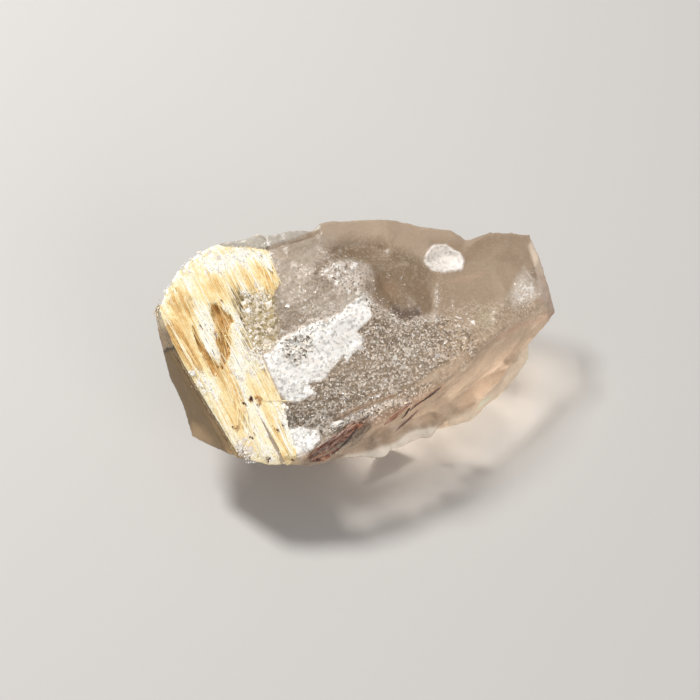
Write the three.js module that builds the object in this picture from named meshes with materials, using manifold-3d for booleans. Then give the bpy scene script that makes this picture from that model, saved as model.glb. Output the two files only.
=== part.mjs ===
// A hand-sized chunk of smoky rutilated quartz: one clear crystal fragment with a sheaf of golden
// rutile needles set in its upper left face and a streak of red rutile along its front ridge.
// Millimetres, +Z up, origin under the middle of the stone at the height of the face it rests on.
// X runs along the stone, from the smooth crystal face on the left to the pointed end on the right.

import * as THREE from 'three';
import { ConvexGeometry } from 'three/addons/geometries/ConvexGeometry.js';
import { mergeVertices } from 'three/addons/utils/BufferGeometryUtils.js';
import Module from 'manifold-3d';

const wasm = await Module();
wasm.setup();

// Driving dimensions, in millimetres.
const HEART = [-1, 0, 9];              // a point deep inside, from which every corner can be seen
const HALF_SIZE = [23, 16, 10];        // half the length, depth and height of the stone
const LONGEST_EDGE = 2.0;              // faces are divided until no edge is longer than this
const GRAIN = 3.2;                     // width of the larger bumps on a broken face
const GAP = 0.3;                       // clearance between a rutile inlay and the quartz round it
const SHEAF_EDGE = 0.6;                // thickness of the golden sheaf at its left edge
const SHEAF_WIDTH = 14;                // across its needles
const SHEAF_DEEP = 2.2;                // its thickness on the right
const SHEAF_LENGTH = 34;               // a little more than its longest needle
const GROOVE_DEPTH = 0.4;              // grooves between its bundles of needles
const GROOVE_WIDTH = 0.7;
const BUNDLE_WIDTH = 1.9;              // from one groove to the next
const STREAK_LENGTH = 8.4;             // the red streak below the front ridge
const STREAK_WIDTH = 1.5;
const STREAK_DEPTH = 1.1;
const CUTTER_REACH = 6;                // how far a cutting prism stands out of the stone
const BALL_DETAIL = 5;                 // how finely the ball of a scar is divided
const LUMP_DETAIL = 3;
const LUMP_UNEVEN = 0.2;               // how far a lump departs from a ball, as a share of its radius

// Corners of the stone, in groups that share a finish. rough is the height of the small bumps there.
// The smooth crystal face on the left: its edge with the golden face, then its free lower edge.
const leftFace = {
  rough: 0,
  corners: [
    [-21.6, -0.8, 16.5], [-20.1, -3.6, 15.1], [-18.2, -6.8, 13.5], [-16.8, -9.0, 12.5],
    [-15.3, -11.2, 11.4], [-14.1, -13.0, 10.5], [-13.0, -15.1, 9.4], [-14.3, -14.2, 9.1],
    [-16.3, -12.6, 8.4], [-18.7, -10.7, 7.7], [-19.7, -8.1, 9.9], [-20.6, -6.4, 10.9],
    [-21.2, -5.4, 11.3], [-22.0, -3.1, 13.3], [-22.5, -1.5, 14.7], [-23.1, 0.2, 16.2],
  ],
};

// The upper rim along the back, from the left corner to the blunt right end, with its notch.
const backRim = {
  rough: 0.08,
  corners: [
    [-22.5, 1.0, 16.9], [-21.8, 2.4, 17.5], [-20.4, 4.8, 18.2], [-18.9, 6.5, 18.6],
    [-17.2, 7.7, 18.9], [-15.7, 8.3, 19.0], [-13.2, 8.5, 19.2], [-11.1, 9.2, 19.2],
    [-8.7, 9.9, 19.3], [-6.8, 10.4, 19.2], [-4.5, 11.5, 18.9], [-3.1, 11.9, 18.8],
    [-1.7, 12.1, 18.6], [0.1, 12.6, 18.4], [1.8, 12.9, 18.1], [3.6, 13.3, 17.7],
    [5.3, 13.5, 17.3], [7.3, 13.7, 16.7], [9.1, 13.9, 15.8],
    [10.8, 14.1, 15.2], [12.7, 13.7, 13.8], [14.3, 14.2, 13.7], [15.7, 14.8, 14.2],
    [18.1, 15.0, 13.8], [20.3, 15.3, 13.2],
    [-12.4, 7.3, 18.5], [-9.1, 8.7, 18.6], [-5.5, 10.6, 18.5],
  ],
};

// The blunt right end and the rounded bar below it.
const rightEnd = {
  rough: 0.1,
  corners: [
    [21.4, 12.6, 12.2], [22.3, 9.8, 10.2], [23.1, 7.3, 8.2], [21.4, 7.5, 11.6],
    [19.7, 2.9, 7.2], [19.8, 1.9, 5.9], [18.1, -0.7, 5.4], [16.2, -2.9, 5.2],
    [14.4, -4.9, 5.1], [12.6, -6.6, 5.2], [10.8, -7.2, 5.9],
  ],
};

// The lower rim along the front, where the stone overhangs its base, and the ridge above it.
const lowerRim = {
  rough: 0.3,
  corners: [
    [9.1, -8.0, 6.5], [7.3, -9.6, 6.2], [5.8, -10.4, 6.2], [4.5, -10.9, 6.3],
    [2.8, -12.1, 6.7], [0.9, -13.0, 7.2], [-1.7, -13.8, 7.7], [-4.2, -14.7, 8.0],
    [-6.6, -15.3, 8.3], [-9.8, -15.1, 8.8],
  ],
};
const frontRidge = {
  rough: 0.15,
  corners: [
    [-9.8, -15.1, 9.5], [-6.5, -15.2, 9.8], [-4.9, -14.3, 10.4], [-3.3, -13.2, 11.0],
    [-1.1, -12.0, 11.4], [1.1, -10.9, 11.8], [3.1, -9.8, 12.3], [4.9, -9.2, 12.7],
    [6.8, -7.7, 13.0], [8.8, -6.2, 13.2], [11.1, -4.2, 13.3], [13.5, -2.0, 13.2],
    [15.7, 0.3, 12.8], [17.8, 2.6, 12.2], [20.0, 4.9, 11.0], [21.9, 6.7, 9.7],
  ],
};
const frontSide = {
  rough: 0.25,
  corners: [
    [-3.3, -13.9, 9.2], [0, -12.6, 9.6], [3.9, -10.3, 9.9], [7.8, -7.7, 10.1],
    [11.9, -4.8, 9.6], [16.1, -0.8, 9.1], [19.3, 3.4, 8.6], [2.2, -12.0, 7.9],
    [5.8, -10.0, 7.6], [10.2, -6.8, 7.2], [14.3, -3.7, 6.9], [17.4, -0.2, 7.0],
    [9.8, -6.3, 8.4], [13.7, -2.8, 8.3], [16.9, 0.5, 8.2],
  ],
};

// The raised crest on top, the hollow behind it and the scoop to its right.
const crest = {
  rough: 0.12,
  corners: [
    [-4.7, 4.4, 18.4], [-3.1, 5.0, 18.9], [-1.7, 5.1, 19.2], [-0.2, 5.0, 19.2],
    [0.9, 4.6, 18.8], [1.6, 3.4, 18.1], [1.1, 1.8, 17.6], [-0.3, -0.2, 17.3],
  ],
};
const hollow = {
  rough: 0.1,
  corners: [
    [-2.0, 8.9, 17.5], [1.0, 9.6, 17.0], [3.4, 8.9, 16.5],
    [1.9, 6.9, 17.0], [6.0, 8.2, 15.9], [2.8, -0.7, 16.7], [4.5, -0.9, 16.2],
    [6.2, -0.3, 15.7], [7.9, 1.2, 15.2], [8.4, 3.5, 15.0], [7.8, 6.2, 15.1],
    [5.2, 6.8, 15.8], [4.4, 4.0, 15.6], [2.9, 4.3, 16.4],
  ],
};

// The smooth, nearly level plane of the right half.
const rightPlane = {
  rough: 0.04,
  corners: [
    [10.2, 8.1, 14.3], [10.8, 10.6, 14.4], [12.9, 10.5, 13.5], [16.5, 10.7, 13.2],
    [13.8, 5.2, 13.9], [17.7, 6.6, 12.9], [10.5, 3.4, 14.6], [19.9, 9.2, 12.6],
  ],
};

// The white bruised patch, the grainy slope in front of it, and the frosted top behind it.
const patch = {
  rough: 0.1,
  corners: [
    [-9.2, -2.8, 14.7], [-7.1, -2.1, 15.6], [-4.6, -1.5, 16.6], [-2.2, -1.6, 17.0],
    [-0.5, -2.0, 16.6], [0.7, -3.0, 15.5], [-1.3, -5.3, 14.4], [-3.3, -6.9, 13.8],
    [-5.2, -8.5, 12.9], [-6.9, -9.2, 12.0], [-5.5, -4.9, 15.0],
  ],
};
const slope = {
  rough: 0.2,
  corners: [
    [2.8, -3.1, 15.4], [5.6, -3.2, 14.7], [7.8, -1.7, 14.6], [10.7, 0, 14.4],
    [14.8, 2.5, 13.7], [1.1, -5.7, 14.2], [-1.1, -8.4, 13.1], [-3.3, -10.4, 12.1],
    [3.3, -7.2, 13.4], [6.6, -4.9, 13.8], [10.0, -3.0, 13.9],
  ],
};
const frostedTop = {
  rough: 0.1,
  corners: [
    [-7.9, 6.1, 18.2], [-6.7, 3.1, 17.6], [-8.4, 0.8, 16.8], [-5.6, 0.8, 17.2],
    [-9.3, -0.8, 15.8], [-4.5, 8.7, 18.2], [-2.8, 2.4, 17.6],
  ],
};

// The golden face, which carries the sheaf.
const goldenFace = {
  rough: 0.05,
  corners: [
    [-16.3, 4.4, 18.0], [-13.5, 5.9, 18.3], [-10.3, 5.9, 18.2], [-17.8, 0.5, 16.5],
    [-15.1, -0.3, 15.8], [-12.3, 1.6, 16.5], [-11.6, -3.3, 14.5], [-14.9, -5.4, 13.7],
    [-13.2, -8.9, 12.0], [-10.5, -7.4, 12.5], [-8.3, -8.4, 12.0], [-7.7, -12.2, 10.6],
    [-10.4, -12.2, 10.6],
  ],
};

// The back and the underside, which slope in to the flat base.
const backAndUnder = {
  rough: 0.25,
  corners: [
    [-21.5, 4.5, 10.5], [-16.0, 10.0, 10.0], [-6.0, 14.5, 10.5], [5.0, 16.0, 9.0],
    [15.0, 15.8, 8.0], [20.5, 11.0, 5.5], [-14.0, 9.5, 4.0], [-3.0, 12.5, 4.0],
    [8.0, 12.5, 3.5], [15.0, 9.0, 2.5], [-17.0, -3.0, 4.5], [-18.0, 3.0, 6.0],
    [-10.0, -11.0, 4.5], [-2.0, -10.4, 3.6], [5.5, -6.6, 2.6], [12.2, -2.0, 2.2],
    [16.3, 2.8, 2.6],
  ],
};
const base = {
  rough: 0,
  corners: [
    [-10.5, -6.0, 0], [2.5, -6.8, 0], [9.5, -1.5, 0], [11.0, 5.0, 0],
    [2.0, 9.0, 0], [-10.5, 7.0, 0],
  ],
};

const groups = [
  leftFace, backRim, rightEnd, lowerRim, frontRidge, frontSide, crest, hollow, rightPlane, patch,
  slope, frostedTop, goldenFace, backAndUnder, base,
];

// Shell-shaped scars left by chips that broke off: middle of the hollow's mouth, the direction that
// it faces, the radius of the ball that fits it, how deep it bites and how far the ball is stretched
// along the stone.
const scars = [
  { name: 'scoop', mouth: [5.0, 3.0, 16.2], faces: [0.1, -0.1, 1], radius: 5.0, bite: 1.5 },
  { name: 'scoop tail', mouth: [8.0, 1.6, 15.3], faces: [0.3, -0.3, 1], radius: 4.0, bite: 0.45 },
  { name: 'behind the crest', mouth: [2.4, 8.7, 17.1], faces: [0, 0, 1], radius: 3.2, bite: 0.8, stretch: 2 },
  { name: 'right plane', mouth: [15.4, 8.0, 13.5], faces: [0, -0.12, 1], radius: 24, bite: 0.45 },
  { name: 'white chip', mouth: [11.0, 10.1, 14.3], faces: [-0.1, -0.2, 1], radius: 4, bite: 0.6 },
  { name: 'back left', mouth: [-15.5, 8.9, 10.5], faces: [-0.4, 1, -0.1], radius: 16, bite: 1.2 },
  { name: 'back middle', mouth: [-4.0, 13.8, 10.0], faces: [-0.1, 1, -0.1], radius: 18, bite: 1.3 },
  { name: 'back right', mouth: [9.5, 15.6, 8.6], faces: [0.1, 1, -0.15], radius: 14, bite: 1.1 },
  { name: 'back low', mouth: [3.0, 12.4, 4.5], faces: [0, 0.8, -1], radius: 14, bite: 1.0 },
  { name: 'under left', mouth: [-15.5, -7.5, 4.5], faces: [-0.6, -0.5, -1], radius: 14, bite: 1.0 },
  { name: 'under front', mouth: [-4.0, -12.0, 4.9], faces: [-0.1, -0.8, -1], radius: 10, bite: 0.9 },
  { name: 'under right', mouth: [13.5, -1.2, 2.9], faces: [0.4, -0.6, -1], radius: 11, bite: 0.8 },
  { name: 'rim chip left', mouth: [-0.4, -13.6, 7.2], faces: [0, -1, -0.5], radius: 2.2, bite: 0.45 },
  { name: 'rim chip right', mouth: [9.9, -7.9, 6.2], faces: [0.3, -1, -0.5], radius: 2.0, bite: 0.5 },
];

// Pale lumps on the lower rim, mostly sunk in the stone: middle and radius of each.
const lumps = [
  { middle: [1.7, -11.0, 7.6], radius: 2.1 },
  { middle: [4.2, -9.7, 7.5], radius: 1.8 },
  { middle: [7.0, -8.4, 7.2], radius: 1.7 },
];

const vector = (numbers) => new THREE.Vector3(...numbers);

// The corners are spread over a ball by their directions from the heart. The faces of the ball's
// convex hull then say which corners are neighbours, and each corner goes back to its own place.
function net(cornerGroups) {
  const corners = cornerGroups.flatMap((group) => group.corners.map(vector));
  const rough = cornerGroups.flatMap((group) => group.corners.map(() => group.rough));
  const heart = vector(HEART);
  const halfSize = vector(HALF_SIZE);
  const onBall = corners.map((corner) => corner.clone().sub(heart).divide(halfSize).normalize());
  const hull = new ConvexGeometry(onBall).getAttribute('position');
  const nearest = (point) => {
    const reach = onBall.map((direction) => direction.distanceToSquared(point));
    return reach.indexOf(Math.min(...reach));
  };
  const faces = [];
  for (let i = 0; i < hull.count; i += 3) {
    faces.push([0, 1, 2].map((k) => nearest(new THREE.Vector3().fromBufferAttribute(hull, i + k))));
  }
  return { corners, rough, faces };
}

// Every edge that is too long is halved, and the faces beside it are divided to match.
function divide({ corners, rough, faces }) {
  const middles = new Map();
  const middle = (a, b) => {
    const key = Math.min(a, b) + '/' + Math.max(a, b);
    if (corners[a].distanceTo(corners[b]) <= LONGEST_EDGE) return -1;
    if (!middles.has(key)) {
      middles.set(key, corners.length);
      corners.push(corners[a].clone().add(corners[b]).multiplyScalar(0.5));
      rough.push((rough[a] + rough[b]) / 2);
    }
    return middles.get(key);
  };
  const divided = faces.flatMap(([a, b, c]) => {
    const [ab, bc, ca] = [middle(a, b), middle(b, c), middle(c, a)];
    const cuts = [ab, bc, ca].filter((index) => index >= 0).length;
    if (cuts === 0) return [[a, b, c]];
    if (cuts === 3) return [[a, ab, ca], [ab, b, bc], [ca, bc, c], [ab, bc, ca]];
    // The face is turned so that its first edge is cut and its last is whole.
    let [p, q, r, pq, qr] = [a, b, c, ab, bc];
    if (ab < 0 || (cuts === 2 && bc < 0)) [p, q, r, pq, qr] = ab < 0 ? [b, c, a, bc, ca] : [c, a, b, ca, ab];
    if (pq < 0) [p, q, r, pq, qr] = [c, a, b, ca, ab];
    if (cuts === 1) return [[p, pq, r], [pq, q, r]];
    return [[p, pq, r], [pq, qr, r], [pq, q, qr]];
  });
  return { corners, rough, faces: divided };
}

// Repeatable lattice noise between -1 and 1.
function latticeValue(i, j, k) {
  const mixed = Math.sin(i * 127.1 + j * 311.7 + k * 74.7) * 43758.5453;
  return 2 * (mixed - Math.floor(mixed)) - 1;
}

function noise(x, y, z) {
  const cell = [x, y, z].map(Math.floor);
  const [u, v, w] = [x, y, z].map((value, axis) => {
    const part = value - cell[axis];
    return part * part * (3 - 2 * part);
  });
  let sum = 0;
  for (const [i, j, k] of [0, 1, 2, 3, 4, 5, 6, 7].map((bits) => [bits & 1, (bits >> 1) & 1, bits >> 2])) {
    const weight = (i ? u : 1 - u) * (j ? v : 1 - v) * (k ? w : 1 - w);
    sum += weight * latticeValue(cell[0] + i, cell[1] + j, cell[2] + k);
  }
  return sum;
}

// Bumps of two sizes push each corner towards the heart or away from it.
function roughen({ corners, rough, faces }) {
  const heart = vector(HEART);
  const moved = corners.map((corner, index) => {
    const coarse = noise(corner.x / GRAIN, corner.y / GRAIN, corner.z / GRAIN);
    const fine = noise((corner.x * 2.3) / GRAIN, (corner.y * 2.3) / GRAIN, (corner.z * 2.3) / GRAIN);
    const outward = corner.clone().sub(heart).normalize();
    return corner.clone().addScaledVector(outward, rough[index] * (coarse + 0.6 * fine));
  });
  return { corners: moved, rough, faces };
}

function solidOf(geometry) {
  const bare = geometry.clone();
  bare.deleteAttribute('normal');
  bare.deleteAttribute('uv');
  const merged = mergeVertices(bare, 1e-5);
  const vertProperties = new Float32Array(merged.getAttribute('position').array);
  const triVerts = new Uint32Array(merged.getIndex().array);
  return new wasm.Manifold(new wasm.Mesh({ numProp: 3, vertProperties, triVerts }));
}

function geometryOf(solid) {
  const mesh = solid.getMesh();
  const geometry = new THREE.BufferGeometry();
  geometry.setAttribute('position', new THREE.BufferAttribute(mesh.vertProperties, 3));
  geometry.setIndex(new THREE.BufferAttribute(mesh.triVerts, 1));
  return geometry;
}

function stoneOf({ corners, faces }) {
  const geometry = new THREE.BufferGeometry().setFromPoints(corners);
  geometry.setIndex(faces.flat());
  return solidOf(geometry);
}

// The hollow of a scar is part of a ball whose middle lies outside the stone.
function scarBall({ mouth, faces, radius, bite, stretch = 1 }) {
  const ball = new THREE.IcosahedronGeometry(radius, BALL_DETAIL).scale(stretch, 1, 1);
  const away = vector(faces).normalize().multiplyScalar(radius - bite);
  ball.translate(...vector(mouth).add(away));
  return solidOf(ball);
}

function lumpBall({ middle, radius }) {
  const ball = new THREE.IcosahedronGeometry(radius, LUMP_DETAIL);
  const places = ball.getAttribute('position');
  for (let i = 0; i < places.count; i += 1) {
    const place = new THREE.Vector3().fromBufferAttribute(places, i);
    place.multiplyScalar(1 + LUMP_UNEVEN * noise(...place.clone().add(vector(middle)).toArray()));
    places.setXYZ(i, ...place);
  }
  return solidOf(ball.translate(...middle));
}

// Turns a shape drawn in a plane so that its X runs along one direction and its Z along another.
function standOn(geometry, origin, along, up) {
  const z = vector(up).normalize();
  const y = new THREE.Vector3().crossVectors(z, vector(along)).normalize();
  const x = new THREE.Vector3().crossVectors(y, z);
  return geometry.applyMatrix4(new THREE.Matrix4().makeBasis(x, y, z).setPosition(vector(origin)));
}

// The golden sheaf: its outline on the golden face, as distances along the needles from the top of
// the face and across them from its left edge. Its floor dips from that edge to the right.
const SHEAF_ORIGIN = [-21.7, 1.0, 16.5];
const SHEAF_ALONG = [0.463, -0.805, -0.368];
const SHEAF_UP = [0.036, -0.382, 0.923];
const SHEAF_DIP = Math.atan((SHEAF_DEEP - SHEAF_EDGE) / SHEAF_WIDTH);
const sheafOutline = [
  [-11, 1.6], [-1.5, 0.7], [-0.3, -0.3], [2, -3], [22, -3], [22, 6.2], [17.5, 6.7], [15.2, 6.0], [11.5, 5.6], [8.6, 4.6], [6.0, 6.4],
  [3.6, 7.4], [2.0, 11.2], [-2.0, 13.2], [-6.5, 13.4], [-11, 13.0],
];

// A closed outline drawn in the plane, moved outwards by a margin and given a depth below the plane.
function prism(outline, margin, depth) {
  const points = outline.map(([x, y], index) => {
    const before = outline.at(index - 1);
    const after = outline[(index + 1) % outline.length];
    const along = new THREE.Vector2(after[0] - before[0], after[1] - before[1]).normalize();
    return new THREE.Vector2(x + along.y * margin, y - along.x * margin);
  });
  const body = new THREE.ExtrudeGeometry(new THREE.Shape(points), {
    depth: depth + margin + CUTTER_REACH,
    bevelEnabled: false,
  });
  return body.translate(0, 0, -depth - margin);
}

function sheafPrism(margin) {
  const block = prism(sheafOutline, margin, SHEAF_EDGE).rotateX(-SHEAF_DIP);
  return solidOf(standOn(block, SHEAF_ORIGIN, SHEAF_ALONG, SHEAF_UP));
}

// Grooves part the sheaf into bundles, and a wider trench runs down its upper left part. Each is a
// wedge: how far across the face, how far along it starts, its length, width, depth and its turn.
const grooves = Array.from({ length: Math.floor(SHEAF_WIDTH / BUNDLE_WIDTH) }, (_, index) => ({
  across: (index + 0.8) * BUNDLE_WIDTH,
  start: -SHEAF_LENGTH / 3,
  length: SHEAF_LENGTH,
  width: GROOVE_WIDTH,
  depth: GROOVE_DEPTH,
  turn: 0.04 * Math.sin(2.4 * index),
}));
grooves.push({ across: 2.6, start: 0.8, length: 7, width: 1.7, depth: 0.9, turn: -0.1 });

function grooveWedge({ across, start, length, width, depth, turn }) {
  const section = new THREE.Shape([
    new THREE.Vector2(0, -depth),
    new THREE.Vector2(width / 2, width / 4),
    new THREE.Vector2(0, CUTTER_REACH),
    new THREE.Vector2(-width / 2, width / 4),
  ]);
  const wedge = new THREE.ExtrudeGeometry(section, { depth: length, bevelEnabled: false });
  wedge.rotateX(Math.PI / 2).rotateZ(Math.PI / 2 + turn).translate(start, across, 0);
  return solidOf(standOn(wedge, SHEAF_ORIGIN, SHEAF_ALONG, SHEAF_UP));
}

// The red streak lies just under the front ridge, along it.
const STREAK_MIDDLE = [-2.3, -13.5, 9.8];
const STREAK_ALONG = [0.86, 0.45, 0.22];
const STREAK_OUT = [0.45, -0.88, 0.1];
const streakOutline = [
  [-STREAK_LENGTH / 2, 0], [-STREAK_LENGTH / 4, -STREAK_WIDTH / 2], [STREAK_LENGTH / 4, -STREAK_WIDTH / 2],
  [STREAK_LENGTH / 2, 0], [STREAK_LENGTH / 4, STREAK_WIDTH / 2], [-STREAK_LENGTH / 4, STREAK_WIDTH / 2],
];
const streakPrism = (margin) =>
  solidOf(standOn(prism(streakOutline, margin, STREAK_DEPTH), STREAK_MIDDLE, STREAK_ALONG, STREAK_OUT));

let stoneNet = net(groups);
for (let round = 0; round < 6; round += 1) stoneNet = divide(stoneNet);
let stone = stoneOf(roughen(stoneNet));
for (const lump of lumps) stone = stone.add(lumpBall(lump));
for (const scar of scars) stone = stone.subtract(scarBall(scar));

let sheaf = stone.intersect(sheafPrism(0));
for (const groove of grooves) sheaf = sheaf.subtract(grooveWedge(groove));
const streak = stone.intersect(streakPrism(0)).subtract(sheafPrism(GAP));
const quartz = stone.subtract(sheafPrism(GAP)).subtract(streakPrism(GAP));

function piece(name, solid, look) {
  const mesh = new THREE.Mesh(geometryOf(solid), new THREE.MeshStandardMaterial(look));
  mesh.name = name;
  return mesh;
}

const rutilatedQuartz = new THREE.Group();
rutilatedQuartz.add(
  piece('quartz_crystal', quartz, { color: 0xb5a48f, roughness: 0.35, metalness: 0 }),
  piece('golden_rutile_sheaf', sheaf, { color: 0xe0b865, roughness: 0.4, metalness: 0.1 }),
  piece('red_rutile_streak', streak, { color: 0x7a3a26, roughness: 0.4, metalness: 0.1 }),
);

// The origin goes under the middle of the stone.
const bounds = new THREE.Box3().setFromObject(rutilatedQuartz);
const centre = bounds.getCenter(new THREE.Vector3());
rutilatedQuartz.position.set(-centre.x, -centre.y, -bounds.min.z);

export default rutilatedQuartz;
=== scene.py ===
# %% [markdown]
# # A rutilated quartz
# A hand-sized chunk of smoky quartz, broken on most sides, with one clear crystal face left. A
# sheaf of golden rutile needles lies in its upper left face, and a little red rutile under its
# front ridge.
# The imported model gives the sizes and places. This lesson gives each solid its fine surface.

import math

import bmesh
import bpy
import numpy as np
from mathutils import Matrix, Vector


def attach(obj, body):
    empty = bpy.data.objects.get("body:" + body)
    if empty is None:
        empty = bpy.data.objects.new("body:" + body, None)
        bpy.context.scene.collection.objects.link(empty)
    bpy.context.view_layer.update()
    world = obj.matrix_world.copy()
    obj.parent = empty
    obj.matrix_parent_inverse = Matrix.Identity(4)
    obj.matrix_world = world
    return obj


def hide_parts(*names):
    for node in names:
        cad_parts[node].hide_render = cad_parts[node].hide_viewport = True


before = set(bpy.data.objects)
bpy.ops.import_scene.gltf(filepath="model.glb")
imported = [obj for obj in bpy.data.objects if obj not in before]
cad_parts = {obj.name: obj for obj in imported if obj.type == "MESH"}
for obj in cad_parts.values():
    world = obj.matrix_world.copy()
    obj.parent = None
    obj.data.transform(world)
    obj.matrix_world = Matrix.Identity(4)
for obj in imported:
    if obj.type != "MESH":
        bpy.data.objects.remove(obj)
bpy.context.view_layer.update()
MM = 0.001
BODY = "root"


def add_object(name, data):
    """A new object with the given data, in the scene."""
    made = bpy.data.objects.new(name, data)
    bpy.context.scene.collection.objects.link(made)
    return made


# %% [markdown]
# ## Camera
# The stone was looked at from above, at 50 degrees, through a long lens. An 85 mm lens on a full
# frame keeps the perspective as flat as it was. The same numbers tell later where a point of the
# stone is seen, so that a marking can be placed by the pixel at which it shows.

# %% Camera
VIEW_TARGET = np.array([-1.13, 0.35, 9.2]) * MM
VIEW_ELEVATION = math.radians(50)
VIEW_DISTANCE = 190.07 * MM
LENS = 85.0
SENSOR = 36.0
FRAME_PX = 700
FOCAL_PX = FRAME_PX * LENS / SENSOR
TO_CAMERA = np.array([0, -math.cos(VIEW_ELEVATION), math.sin(VIEW_ELEVATION)])
UP_IN_VIEW = np.array([0, math.sin(VIEW_ELEVATION), math.cos(VIEW_ELEVATION)])
EYE = VIEW_TARGET + TO_CAMERA * VIEW_DISTANCE

camera = add_object("camera", bpy.data.cameras.new("camera"))
camera.data.lens = LENS
camera.data.sensor_width = SENSOR
camera.location = Vector(EYE)
camera.rotation_euler = Vector(-TO_CAMERA).to_track_quat("-Z", "Y").to_euler()
camera.data.clip_start = 0.01
bpy.context.scene.camera = camera


def seen_at(points):
    """The pixel of each point: its place along the view's right and up, divided by its distance."""
    from_eye = points - EYE
    depth = -(from_eye @ TO_CAMERA)
    column = FRAME_PX / 2 + FOCAL_PX * from_eye[:, 0] / depth
    row = FRAME_PX / 2 - FOCAL_PX * (from_eye @ UP_IN_VIEW) / depth
    return np.stack([column, row], 1)


PX = VIEW_DISTANCE / FOCAL_PX
print("one pixel at the stone is", round(PX / MM, 3), "mm")

# %% [markdown]
# ## Floor and light
# A pale floor and one soft key light from behind the upper left corner, which rakes across the
# broken top and leaves the near side to the fill of the pale world.

# %% Floor and light
FLOOR_SIZE = 3.0
LIGHT_DISTANCE = 0.45
KEY_DIRECTION = (-0.43, 0.405, 0.81)
KEY_SIZE = 0.10
KEY_POWER = 2.1
FILL_DIRECTION = (0.55, -0.75, 0.3)
FILL_SIZE = 0.35
FILL_POWER = 1.15
WORLD_COLOUR = (0.92, 0.90, 0.88)
WORLD_STRENGTH = 0.38

bpy.ops.mesh.primitive_plane_add(size=FLOOR_SIZE)
floor = bpy.context.object
floor.name = "floor"


def soft_light(name, direction, size, power, colour):
    """A round area light that looks at the stone from the given direction."""
    light = add_object(name, bpy.data.lights.new(name, "AREA"))
    light.data.shape = "DISK"
    light.data.size = size
    light.data.energy = power
    light.data.color = colour
    light.location = Vector(direction).normalized() * LIGHT_DISTANCE
    light.rotation_euler = (-Vector(direction)).to_track_quat("-Z", "Y").to_euler()


soft_light("key_light", KEY_DIRECTION, KEY_SIZE, KEY_POWER, (1.0, 0.97, 0.92))
soft_light("fill_light", FILL_DIRECTION, FILL_SIZE, FILL_POWER, (1.0, 0.91, 0.82))

world = bpy.data.worlds.new("studio")
world.use_nodes = True
sky = world.node_tree.nodes["Background"]
sky.inputs["Color"].default_value = (*WORLD_COLOUR, 1)
sky.inputs["Strength"].default_value = WORLD_STRENGTH
bpy.context.scene.world = world
bpy.context.scene.view_settings.view_transform = "Standard"

# %% [markdown]
# ## Noise in numpy
# Broken stone is uneven at many sizes. Two kinds of noise make all of it: smooth value noise for
# swells and stains, and cells, each with a slope of its own, for the little facets of a fracture.

# %% Noise
def lattice(cell, seed):
    """A repeatable number from 0 to 1 for each whole-number cell: the fraction of a large sine."""
    mixed = np.sin(cell @ np.array([127.1, 311.7, 74.7]) + 53.3 * seed) * 43758.5453
    return mixed - np.floor(mixed)


CORNERS = np.array([[i, j, k] for i in (0, 1) for j in (0, 1) for k in (0, 1)])
NEIGHBOURS = np.array([[i, j, k] for i in (-1, 0, 1) for j in (-1, 0, 1) for k in (-1, 0, 1)])


def swell(points, size, seed=0):
    """Value noise from -1 to 1: the eight corners of the cell round a point, blended smoothly."""
    place = points / size
    cell = np.floor(place)
    part = place - cell
    part = part * part * (3 - 2 * part)
    total = np.zeros(len(points))
    for corner in CORNERS:
        weight = np.prod(np.where(corner, part, 1 - part), 1)
        total += weight * lattice(cell + corner, seed)
    return 2 * total - 1


def rough(points, size, seed=0, rounds=3):
    """Swells of halving size and height added up, about -1 to 1."""
    return sum(swell(points, size / 2**n, seed + n) / 1.6**n for n in range(rounds)) / 1.8


def facets(points, size, seed=0):
    """A field of little tilted planes. Each point belongs to the nearest of one random seed per
    cell, and its height is its offset from that seed times the seed's own slope."""
    place = points / size
    cell = np.floor(place)
    nearest = np.full(len(points), np.inf)
    height = np.zeros(len(points))
    for step in NEIGHBOURS:
        there = cell + step
        jitter = np.stack([lattice(there, seed + n) for n in (1, 2, 3)], 1)
        slope = np.stack([lattice(there, seed + n) for n in (4, 5, 6)], 1) * 2 - 1
        offset = place - there - jitter
        reach = np.sum(offset * offset, 1)
        closer = reach < nearest
        nearest = np.where(closer, reach, nearest)
        height = np.where(closer, np.sum(offset * slope, 1), height)
    return height


def smooth_step(low, high, value):
    """0 below low, 1 above high and a smooth S between them. Low may be the larger one."""
    part = np.clip((value - low) / (high - low), 0, 1)
    return part * part * (3 - 2 * part)


def from_side(pixels, a, b):
    """Distance in pixels to the straight side between two corners."""
    along = np.clip((pixels - a) @ (b - a) / ((b - a) @ (b - a)), 0, 1)
    return np.linalg.norm(pixels - a - along[:, None] * (b - a), axis=1)


def inside(pixels, outline):
    """How deep each pixel lies inside an outline, in pixels, and below 0 outside: the distance to
    the nearest side, with its sign from counting the sides that a line to the right crosses."""
    corners = np.array(outline, float)
    reach = np.full(len(pixels), np.inf)
    crossings = np.zeros(len(pixels), int)
    for a, b in zip(corners, np.roll(corners, -1, 0)):
        reach = np.minimum(reach, from_side(pixels, a, b))
        spans = (a[1] > pixels[:, 1]) != (b[1] > pixels[:, 1])
        rise = b[1] - a[1] if b[1] != a[1] else 1e-9
        cut = a[0] + (pixels[:, 1] - a[1]) * (b[0] - a[0]) / rise
        crossings += spans & (pixels[:, 0] < cut)
    return np.where(crossings % 2, reach, -reach)


def from_line(pixels, line):
    """Distance in pixels to the nearest part of an open line."""
    corners = np.array(line, float)
    sides = zip(corners[:-1], corners[1:])
    return np.minimum.reduce([from_side(pixels, a, b) for a, b in sides])


def near_line(pixels, line, width):
    """1 on an open line, fading away from it as a bell curve of the given half width in pixels."""
    return np.exp(-((from_line(pixels, line) / width) ** 2))


def unit(vectors):
    """The same directions with length 1."""
    return vectors / np.linalg.norm(vectors, axis=-1, keepdims=True)


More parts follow.
